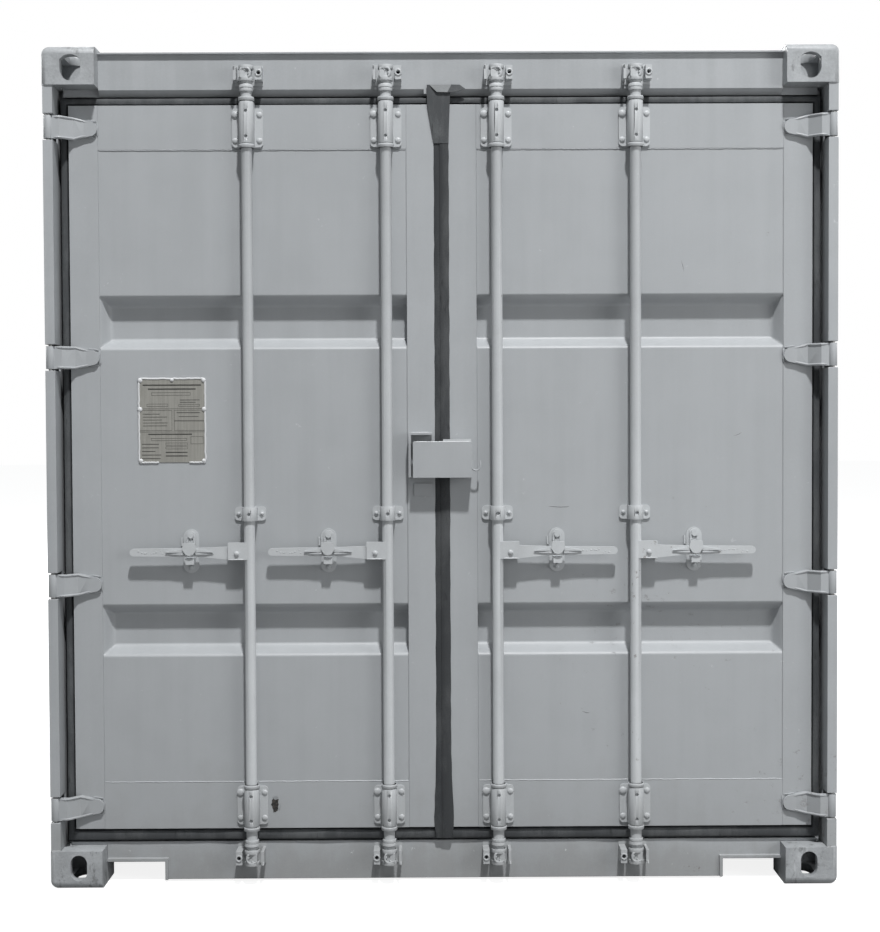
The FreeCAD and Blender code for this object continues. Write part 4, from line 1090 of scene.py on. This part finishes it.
    def hinge_details(self) -> None:
        """Weld beads round the blades' tips and the rolled rims along their edges."""
        way, depth = self.side.value, 0.059
        tip = self.span(Box.of(f"{self.side.word}_hinge_blades"))[0]
        welds, draw = Shape(), random.Random(17)
        for seed, z in enumerate(self.hinges):
            for up in (1, -1):
                start = spot(way * (tip + 0.004), depth, z + up * 0.0235)
                end = spot(way * (tip + 0.036), depth, z + up * 0.0275)
                welds.bead(start, end, self.hinge_bead, seed + 51, (0, -1, up * 0.6))
            ends = [spot(way * tip, depth, z + up * 0.021) for up in (-1, 1)]
            welds.bead(*ends, self.hinge_bead, seed + 57, (-way * 0.6, -1, 0))
            for up in (1, -1):
                rim = []
                for x, face, half in self.rim:
                    inward = face + 0.0012 + draw.uniform(-0.0004, 0.0004)
                    height = half - 0.0042 + draw.uniform(-0.0005, 0.0005)
                    rim.append(spot(way * x, inward, z + up * height))
                welds.tube(rim, 0.0040, 8, 0.5)
        name = f"{self.side.word}_hinge_welds"
        self.add(welds, name, self.side.door, "gear_paint", "door_paint")


@dataclass
class LockGear(Assembly):
    """One lock rod with its cams, hub, handle, retainer and guides."""

    side: Side = Side.RIGHT
    row: Row = Row.INNER
    hub_reach: float = 0.066
    rod_depth: float = 0.028
    catch_reach: float = 0.185
    bolt: Flat = (0.0095, 0.0048)
    bolt_spread: Flat = (0.0375, 0.040)
    guides: Flat = (2.349, 0.2465)
    collars: tuple[float, ...] = (2.425, 2.282, 0.306, 0.174)
    collar_height: float = 0.012
    cams: tuple[tuple[float, int], ...] = ((2.509, 1), (0.090, -1))
    cam_face: float = 0.0085
    x: float = field(init=False)

    def __post_init__(self) -> None:
        """Finds the X of the rod's middle."""
        rod = Box.of(f"{self.name}_lock_rod")
        hub = rod.high if self.side is Side.RIGHT else rod.low
        self.x = hub.x - self.side.value * self.hub_reach

    @property
    def name(self) -> str:
        """The start of this rod's body names."""
        return f"{self.side.word}_{self.row.value}"

    def out(self, distance: float) -> float:
        """The X at a distance from the rod towards the door's hinges."""
        return self.x + self.side.value * distance

    def build(self) -> None:
        """Dresses the gear's nodes and adds its fasteners and cam details."""
        for node, edge in (("lock_rod", 0.0009), ("handle", 0.0018), ("catch", 0.0009)):
            self.dress(f"{self.name}_{node}", "gear_paint", edge)
        self.guide_bolts()
        self.collar_rims()
        self.cam_jaws()
        self.keeper_eyes()
        self.hub_rivet()
        self.handle_ridges()
        self.retainer_details()

    def guide_bolts(self) -> None:
        """Round-headed bolts of the three guides."""
        bolts = Shape()
        radius, height = self.bolt
        spread, rise = self.bolt_spread
        for middle in self.guides:
            for across in (-1, 1):
                for up in (-1, 1):
                    big = 1.28 if (across, up) == (-1, 1) else 1.0
                    foot = spot(self.x + across * spread, 0.054, middle + up * rise)
                    bolts.dome(foot, radius * big, height * big)
        for across in (-1, 1):
            bolts.dome(spot(self.x + across * 0.036, 0.056, 1.158), 0.0062, 0.005, 0.0088)
        self.add(bolts, f"{self.name}_guide_bolts", self.side.door, "gear_paint")

    def collar_rims(self) -> None:
        """Bevelled rims of the rod's four collars."""
        rims, height = Shape(), self.collar_height
        profile = [
            (0.0172, 0.0), (0.0232, 0.0), (0.0248, 0.002), (0.0250, height - 0.003),
            (0.0222, height), (0.0172, height),
        ]
        for z in self.collars:
            rims.turned(spot(self.x, self.rod_depth, z), Axis.Z, profile, 28)
        self.add(rims, f"{self.name}_collars", f"{self.name}_rod", "gear_paint")

    def cam_jaws(self) -> None:
        """The hooked jaws, pins and skirts of the two cams."""
        pin = [(0.004, 0.004), (0.0055, -0.001), (0.0054, -0.005), (0.0032, -0.0085)]
        skirt = [(0.0172, 0.0), (0.0225, 0.004), (0.0215, 0.012), (0.0172, 0.016)]
        cams, face = Shape(), self.cam_face
        for middle, up in self.cams:
            jaw = []
            for i in range(15):
                angle = math.radians(-70 + 200 * i / 14) * up
                x = self.x + up * (0.002 + 0.0125 * math.cos(angle))
                jaw.append(spot(x, face, middle + 0.0150 * math.sin(angle)))
            cams.tube(jaw, 0.0036, 8, 0.7)
            cams.turned(spot(self.x + up * 0.012, 0.0140, middle - up * 0.002), Axis.Y, pin, 14)
            low, high = (self.x - 0.0175, middle - 0.0155), (self.x - 0.0015, middle + 0.0155)
            block = rounded(low, high, 0.004)
            if up < 0:
                block = [(2 * self.x - u, v) for u, v in block][::-1]
            cams.prism(block, Axis.Y, deep(face), deep(self.rod_depth))
            claw = [
                spot(self.x - up * 0.0150, 0.0095, middle + up * 0.009),
                spot(self.x - up * 0.008, face, middle + up * 0.014),
                spot(self.x, face, middle + up * 0.006),
            ]
            cams.tube(claw, 0.0030, 6, 0.6)
            foot = spot(self.x, self.rod_depth, middle - up * 0.040 - 0.008)
            cams.turned(foot, Axis.Z, skirt, 24)
        name = f"{self.name}_cam_jaws"
        self.add(cams, name, f"{self.name}_rod", "gear_paint", edge=0.0008)

    def keeper_eyes(self) -> None:
        """The round eyes and pins on the two cam keepers."""
        lugs = Shape()
        turns = [math.tau * i / 16 for i in range(17)]
        for middle, up in self.cams:
            eye, pin = self.x + up * 0.0395, self.x - up * 0.0345
            ring = [
                spot(eye + 0.0085 * math.cos(t), 0.0115, middle + 0.0085 * math.sin(t))
                for t in turns
            ]
            lugs.tube(ring, 0.0028, 8)
            tip = spot(pin - up * 0.001, 0.008, middle + up * 0.021)
            lugs.tube([spot(pin, 0.013, middle + up * 0.012), tip], 0.0032, 8, 0.8)
        self.add(lugs, f"{self.name}_keeper_eyes", "box_body", "gear_paint")

    def hub_rivet(self) -> None:
        """The pressed lip below the hub and its rivet."""
        hub = Shape()
        hub.dome(spot(self.out(0.039), 0.0095, 1.037), 0.0078, 0.0045)
        lip = [spot(self.out(reach), 0.0115, 1.0185) for reach in (0.0165, 0.064)]
        hub.bead(*lip, (0.005, 0.0025), 61, (0, -1, -0.5))
        self.add(hub, f"{self.name}_hub_rivet", f"{self.name}_rod", "gear_paint")

    def handle_ridges(self) -> None:
        """The drips on the handle's grip and the ridges beside its catch."""
        grip, drips = Shape(), 9
        start, end = self.out(0.262), self.out(0.350)
        draw = random.Random(71 + self.side.value)
        for i in range(drips):
            at = start + (end - start) * (i + draw.uniform(0.1, 0.8)) / drips
            z = 1.0405 + draw.uniform(-0.007, 0.007)
            grip.dome(spot(at, 0.0202, z), draw.uniform(0.0018, 0.0034), 0.0012)
        taper = ((0.0060, 0.0190), (0.0060, 0.030), (0.0046, 0.050), (0.0022, 0.074))
        for way in (-1, 1):
            ridge = [(radius, way * along) for radius, along in taper]
            grip.turned(spot(self.out(self.catch_reach), 0.0205, 1.0360), Axis.X, ridge, 12)
        self.add(grip, f"{self.name}_handle_ridges", f"{self.name}_lever", "gear_paint")

    def retainer_details(self) -> None:
        """The rivet and the small tab of the handle's retainer."""
        middle = self.out(self.catch_reach)
        plate = Shape()
        plate.dome(spot(middle, 0.057, 0.991), 0.0080, 0.0060, 0.0105)
        plate.slab(spot(middle - 0.0315, 0.0575, 1.058), spot(middle - 0.0265, 0.0615, 1.084))
        self.add(plate, f"{self.name}_retainer_rivets", self.side.door, "gear_paint")


@dataclass
class LockBox(Assembly):
    """The padlock box, its bracket and the seal's torn end."""

    corner: float = 0.181
    top_bead: Flat = (0.0055, 0.0028)
    flap_outline: tuple[Flat, ...] = (
        (0.0225, 2.300), (0.0225, 2.352), (0.0237, 2.395), (0.0237, 2.440), (0.0280, 2.462),
        (0.0300, 2.4790), (-0.0430, 2.4790), (-0.0438, 2.450), (-0.0425, 2.418),
        (-0.0370, 2.385), (-0.0290, 2.362), (-0.0240, 2.338), (-0.0230, 2.300),
    )
    fold_outline: tuple[Flat, ...] = (
        (-0.0362, 2.4795), (-0.0131, 2.4560), (0.0200, 2.4545), (0.0330, 2.4795),
    )
    tip_outline: tuple[Flat, ...] = (
        (0.0320, 2.4795), (0.0200, 2.4545), (0.0452, 2.4563), (0.0759, 2.4655), (0.0575, 2.4790),
    )

    def build(self) -> None:
        """Dresses the box and bracket and builds the torn seal flap."""
        self.dress("lock_box", "door_paint", 0.0012)
        self.dress("lock_bracket", "door_paint", 0.0014)
        self.box_welds()
        self.bracket_rim()
        self.flap()
        self.folds()

    def box_welds(self) -> None:
        """Weld beads along the box's corner and top edge, and the strip on its top."""
        box, beads = Box.of("lock_box"), Shape()
        x, top = box.low.x + self.corner, box.high.z
        edge = [spot(x - 0.001, 0.0024, z) for z in (box.low.z + 0.004, top - 0.004)]
        beads.bead(*edge, (0.0036, 0.0018), 81, (0.4, -1, 0))
        rim = [spot(u, 0.0045, top) for u in (box.low.x + 0.003, x - 0.004)]
        beads.bead(*rim, self.top_bead, 82, (0, -0.3, 1))
        beads.slab((x - 0.088, deep(0.0085), top), (x - 0.002, deep(0.0480), top + 0.0075))
        self.add(beads, "lock_box_welds", "right_door", "door_paint", "gear_paint")

    def bracket_rim(self) -> None:
        """The rounded upper edge of the bracket."""
        box, rim = Box.of("lock_bracket"), Shape()
        y, z = box.low.y + 0.003, box.high.z - 0.0005
        ends = [(x, y, z) for x in (box.low.x + 0.004, box.high.x - 0.003)]
        rim.bead(*ends, self.top_bead, 83, (0, -0.5, 1))
        self.add(rim, "lock_bracket_rim", "left_door", "door_paint", "gear_paint")

    def flap(self) -> None:
        """The seal's loose upper end, which rises over the header's lower edge."""

        def ring(depth: float, sink: float) -> list[Vector]:
            """The outline at one of the flap's two faces, with its ends eased."""
            return [
                spot(x, depth - 0.0015 * ramp(z, 2.44, 2.48, 0.01)
                     + sink * ramp(-z, -2.35, -2.30, 0.01), z)
                for x, z in self.flap_outline
            ]

        flap = Shape()
        flap.skin([ring(0.0545, 0.0013), ring(0.0562, 0.0)])
        wide = [f for f in flap.bm.faces if len(f.verts) > 4]
        bmesh.ops.triangulate(flap.bm, faces=wide)
        self.add(flap, "torn_seal_end", "left_door", "seal_rubber", edge=0.0008)

    def folds(self) -> None:
        """The two folded-over pieces at the flap's upper end."""
        for name, finish, outline in (
            ("torn_seal_fold", "seal_fold", self.fold_outline),
            ("torn_seal_tip", "seal_rubber", self.tip_outline),
        ):
            fold = Shape()
            fold.skin([
                [spot(x, depth - 0.005 * ramp(-z, -2.480, -2.455, 0.004), z) for x, z in outline]
                for depth in (0.0520, 0.0542)
            ])
            self.add(fold, name, "left_door", "seal_rubber", finish, edge=0.0006)


@dataclass
class DataPlate(Assembly):
    """The plain data plate with its rivets, sealing bead and empty ruled boxes."""

    line: float = 0.0009
    proud: float = 0.0003
    width: float = 0.205
    height: float = 0.260
    rivets: tuple[Flat, ...] = (
        (0.02, 0.98), (0.5, 0.985), (0.98, 0.98), (0.015, 0.635), (0.985, 0.635),
        (0.025, 0.02), (0.975, 0.02),
    )
    boxes: tuple[tuple[float, float, float, float], ...] = (
        (0.19, 0.800, 0.78, 0.835), (0.12, 0.668, 0.44, 0.700), (0.60, 0.668, 0.92, 0.695),
        (0.0, 0.380, 0.50, 0.625), (0.53, 0.500, 1.0, 0.625), (0.53, 0.380, 1.0, 0.495),
        (0.18, 0.260, 0.72, 0.290), (0.40, 0.205, 0.73, 0.235), (0.40, 0.160, 0.73, 0.190),
        (0.78, 0.220, 0.97, 0.310),
    )
    box: Box = field(default_factory=lambda: Box.of("data_plate"))

    def build(self) -> None:
        """Dresses the plate and builds its fixings and rulings."""
        self.dress("data_plate", "data_plate_metal", 0.0004)
        self.sealing()
        self.rulings()

    def at(self, across: float, up: float) -> Flat:
        """The place at shares of the plate's width and height."""
        low, high = self.box.low, self.box.high
        return low.x + (high.x - low.x) * across, low.z + (high.z - low.z) * up

    def sealing(self) -> None:
        """Rivet heads and the bead of sealant round the plate's edge."""
        draw = random.Random(91)
        bead, heads = Shape(), Shape()
        y, steps = self.box.low.y + 0.0006, 24
        runs = (
            ((0, 0), (0, 1)), ((0, 1), (1, 1)), ((1, 1), (1, 0)), ((0, 0), (0.30, 0)),
            ((0.76, 0), (1, 0)),
        )
        for first, last in runs:
            (x0, z0), (x1, z1) = self.at(*first), self.at(*last)
            path = []
            for i in range(steps + 1):
                share, wobble = i / steps, draw.uniform(-0.0009, 0.0009)
                x, z = x0 + (x1 - x0) * share + wobble, z0 + (z1 - z0) * share + wobble
                path.append((x, y, z))
            bead.tube(path, 0.0030, 8, 0.5)
        self.add(bead, "data_plate_sealant", "left_door", "door_paint", "sealant")
        for place in self.rivets:
            x, z = self.at(*place)
            foot = spot(x, self.box.low.y - END_PLANE, z)
            heads.dome(foot, 0.0068 + draw.uniform(-0.0008, 0.0012), 0.0045)
        self.add(heads, "data_plate_rivets", "left_door", "door_paint", "sealant")

    def rulings(self) -> None:
        """Empty boxes and plain bars, with no lettering."""
        marks = Shape()
        back, front = self.box.low.y + 0.0002, self.box.low.y - self.proud
        across, tall = self.line / self.width, self.line / self.height

        def bar(a: float, b: float, c: float, d: float) -> None:
            """A thin raised bar between two corners in shares of the plate."""
            (x0, z0), (x1, z1) = self.at(a, b), self.at(c, d)
            marks.slab((min(x0, x1), front, min(z0, z1)), (max(x0, x1), back, max(z0, z1)))

        for a, b, c, d in self.boxes:
            bar(a, b, c, b + tall)
            bar(a, d - tall, c, d)
            bar(a, b, a + across, d)
            bar(c - across, b, c, d)
        draw = random.Random(97)
        bars = [(0.0, z, 1.0, tall) for z in (0.640, 0.363)]
        bars += [(0.06, 0.915, 0.94, 0.016), (0.14, 0.868, 0.86, 0.016), (0.14, 0.330, 0.80, 0.014)]
        for i in range(5):
            bars.append((0.06, 0.575 - 0.035 * i, 0.20 + draw.uniform(0.08, 0.26), 0.006))
        bars += [(0.57, 0.590, 0.92, 0.008), (0.60, 0.545, 0.90, 0.006)]
        bars += [(0.62, 0.742, 0.92, 0.007), (0.62, 0.715, 0.86, 0.006)]
        for i in range(5):
            bars.append((0.04, 0.215 - 0.043 * i, 0.22 + draw.uniform(0.02, 0.12), 0.008))
        bars += [(0.40, 0.115 - 0.043 * i, 0.73, 0.012) for i in range(2)]
        for a, b, c, thick in bars:
            bar(a, b, c, b + thick)
        self.add(marks, "data_plate_rulings", "left_door", "data_plate_metal", "engraving")


@dataclass
class Scars(Assembly):
    """Damage on the doors: a torn blister and some scratches."""

    tear_middle: Flat = (-0.528, 0.247)
    tear_reach: Flat = (0.0115, 0.026)
    tear_corners: int = 22
    flakes: tuple[tuple[Point, ...], ...] = (
        ((-0.537, 0.0596, 0.270), (-0.523, 0.0560, 0.274), (-0.517, 0.0575, 0.265),
         (-0.531, 0.0598, 0.260), (-0.524, 0.0598, 0.267)),
        ((-0.517, 0.0598, 0.252), (-0.510, 0.0565, 0.246), (-0.514, 0.0580, 0.230),
         (-0.521, 0.0598, 0.237)),
    )
    cuts: tuple[tuple[Flat, ...], ...] = (
        ((0.328, 1.176), (0.345, 1.1745), (0.366, 1.1735), (0.388, 1.1742), (0.396, 1.1765)),
        ((0.742, 1.938), (0.748, 1.921), (0.751, 1.902)),
        ((0.431, 0.536), (0.447, 0.529), (0.458, 0.531)),
        ((0.905, 1.392), (0.921, 1.397), (0.932, 1.404)),
    )

    def build(self) -> None:
        """Builds each scar on the leaf that carries it."""
        self.blister()
        self.scratches()

    def blister(self) -> None:
        """The rusty tear beside the outer left rod's lower guide."""
        draw = random.Random(101)
        (x, z), (wide, tall) = self.tear_middle, self.tear_reach
        outline = []
        for i in range(self.tear_corners):
            angle = math.tau * i / self.tear_corners
            reach = draw.uniform(0.75, 1.15)
            across, up = wide * reach * math.cos(angle), tall * reach * math.sin(angle)
            outline.append((x + across, z + up))
        tear, flake = Shape(), Shape()
        tear.prism(outline, Axis.Y, deep(0.0592), deep(0.0604))
        self.add(tear, "paint_blister", "left_door", "door_paint", "blister")
        for corners in self.flakes:
            flake.hull([spot(*corner) for corner in corners])
        self.add(flake, "paint_flakes", "left_door", "door_paint")

    def scratches(self) -> None:
        """Fine scratches in the right leaf's sheet."""
        cuts = Shape()
        for line in self.cuts:
            cuts.tube([spot(x, 0.0622, z) for x, z in line], 0.0007, 6, 0.3)
        self.add(cuts, "sheet_scratches", "right_door", "door_paint", "engraving")


@dataclass
class Studio:
    """Camera, lamps and floor."""

    lens: float = 61.04
    sensor: float = 36.0
    stand: Point = (-0.0306, -7.879, 1.4477)
    tilt: Point = (math.pi / 2 - 0.02944, 0.00462, -0.0048)
    doors: Point = (0.0, -3.029, 1.3)
    middle: Point = (0.0, 0.5, 1.3)
    sky_strength: float = 0.27
    floor_glow: float = 0.86

    @staticmethod
    def place(name: str, data: bpy.types.ID, where: Point, turn: Any) -> bpy.types.Object:
        """Puts a camera or lamp into the scene.

        Args:
            name: its name.
            data: its camera or light data.
            where: its place.
            turn: its rotation.

        Returns:
            The object.
        """
        made = bpy.data.objects.new(name, data)
        made.location = where
        made.rotation_euler = turn
        bpy.context.scene.collection.objects.link(made)
        return made

    def camera(self) -> None:
        """Sets the camera square to the doors, a little left of their middle."""
        data = bpy.data.cameras.new("view")
        data.lens = self.lens
        data.sensor_width = self.sensor
        bpy.context.scene.camera = self.place("view", data, self.stand, self.tilt)

    def lamp(self, name: str, where: Point, power: float, size: float, aim: Point) -> None:
        """Adds a soft square lamp.

        Args:
            name: the lamp's name.
            where: where it hangs.
            power: its power in watts.
            size: its side in metres.
            aim: what it faces.
        """
        data = bpy.data.lights.new(name, "AREA")
        data.energy = power
        data.size = size
        way = Vector(aim) - Vector(where)
        self.place(name, data, where, way.to_track_quat("-Z", "Y").to_euler())

    def lamps(self) -> None:
        """A high lamp and a weak low one in front, three behind the doors, and an even sky."""
        self.lamp("main_lamp", (1.2, -9.5, 13.3), 2080.0, 0.7, self.doors)
        self.lamp("side_lamp", (4.2, -6.5, 2.2), 66.0, 2.5, self.doors)
        self.lamp("back_lamp", (-3.0, 12.0, 7.0), 900.0, 4.0, self.middle)
        self.lamp("left_lamp", (-10.0, 3.0, 5.0), 480.0, 4.0, self.middle)
        self.lamp("right_lamp", (10.0, 3.0, 5.0), 480.0, 4.0, self.middle)
        world = bpy.data.worlds.new("sky")
        sky = NodeTree(world)
        seen = sky.node("ShaderNodeBackground", {}, {0: (1.0, 1.0, 1.0, 1.0)})
        tint = {0: (0.95, 0.98, 1.0, 1.0), 1: self.sky_strength}
        sky.split(sky.node("ShaderNodeBackground", {}, tint), seen, "ShaderNodeOutputWorld")
        bpy.context.scene.world = world

    def floor(self) -> None:
        """A plain pale floor, which gives back less light than it shows."""
        ground = Shape()
        ground.prism(rounded((-45.0, -45.0), (45.0, 45.0), 8.0), Axis.Z, -0.05, 0.0)
        made = ground.object("floor")
        material = bpy.data.materials.new("pale_floor")
        pale = NodeTree(material)
        shown, bounced = (
            pale.node("ShaderNodeBsdfDiffuse", {}, {0: (grey, grey, grey, 1.0)})
            for grey in (0.42, 0.26)
        )
        glow = pale.node("ShaderNodeEmission", {}, {1: self.floor_glow})
        both = pale.node("ShaderNodeAddShader", {}, {0: shown.outputs[0], 1: glow.outputs[0]})
        pale.split(bounced, both, "ShaderNodeOutputMaterial")
        made.data.materials.append(material)

    def build(self) -> None:
        """Sets up the whole studio."""
        self.camera()
        self.lamps()
        self.floor()
        bpy.context.scene.view_settings.view_transform = "Standard"


def main() -> None:
    logging.basicConfig(level=logging.INFO, format="%(message)s")
    Studio().build()
    finishes = Finishes()
    CornerCastings(finishes).build()
    Frame(finishes).build()
    SheetPanels(finishes).build()
    for side in Side:
        DoorLeaf(finishes, side=side).build()
        for node in (f"{side.word}_rod_guides", f"{side.word}_handle_retainers"):
            Assembly(finishes).dress(node, "gear_paint", 0.0009)
        for row in Row:
            LockGear(finishes, side=side, row=row).build()
    LockBox(finishes).build()
    DataPlate(finishes).build()
    Scars(finishes).build()


if __name__ == "__main__":
    main()
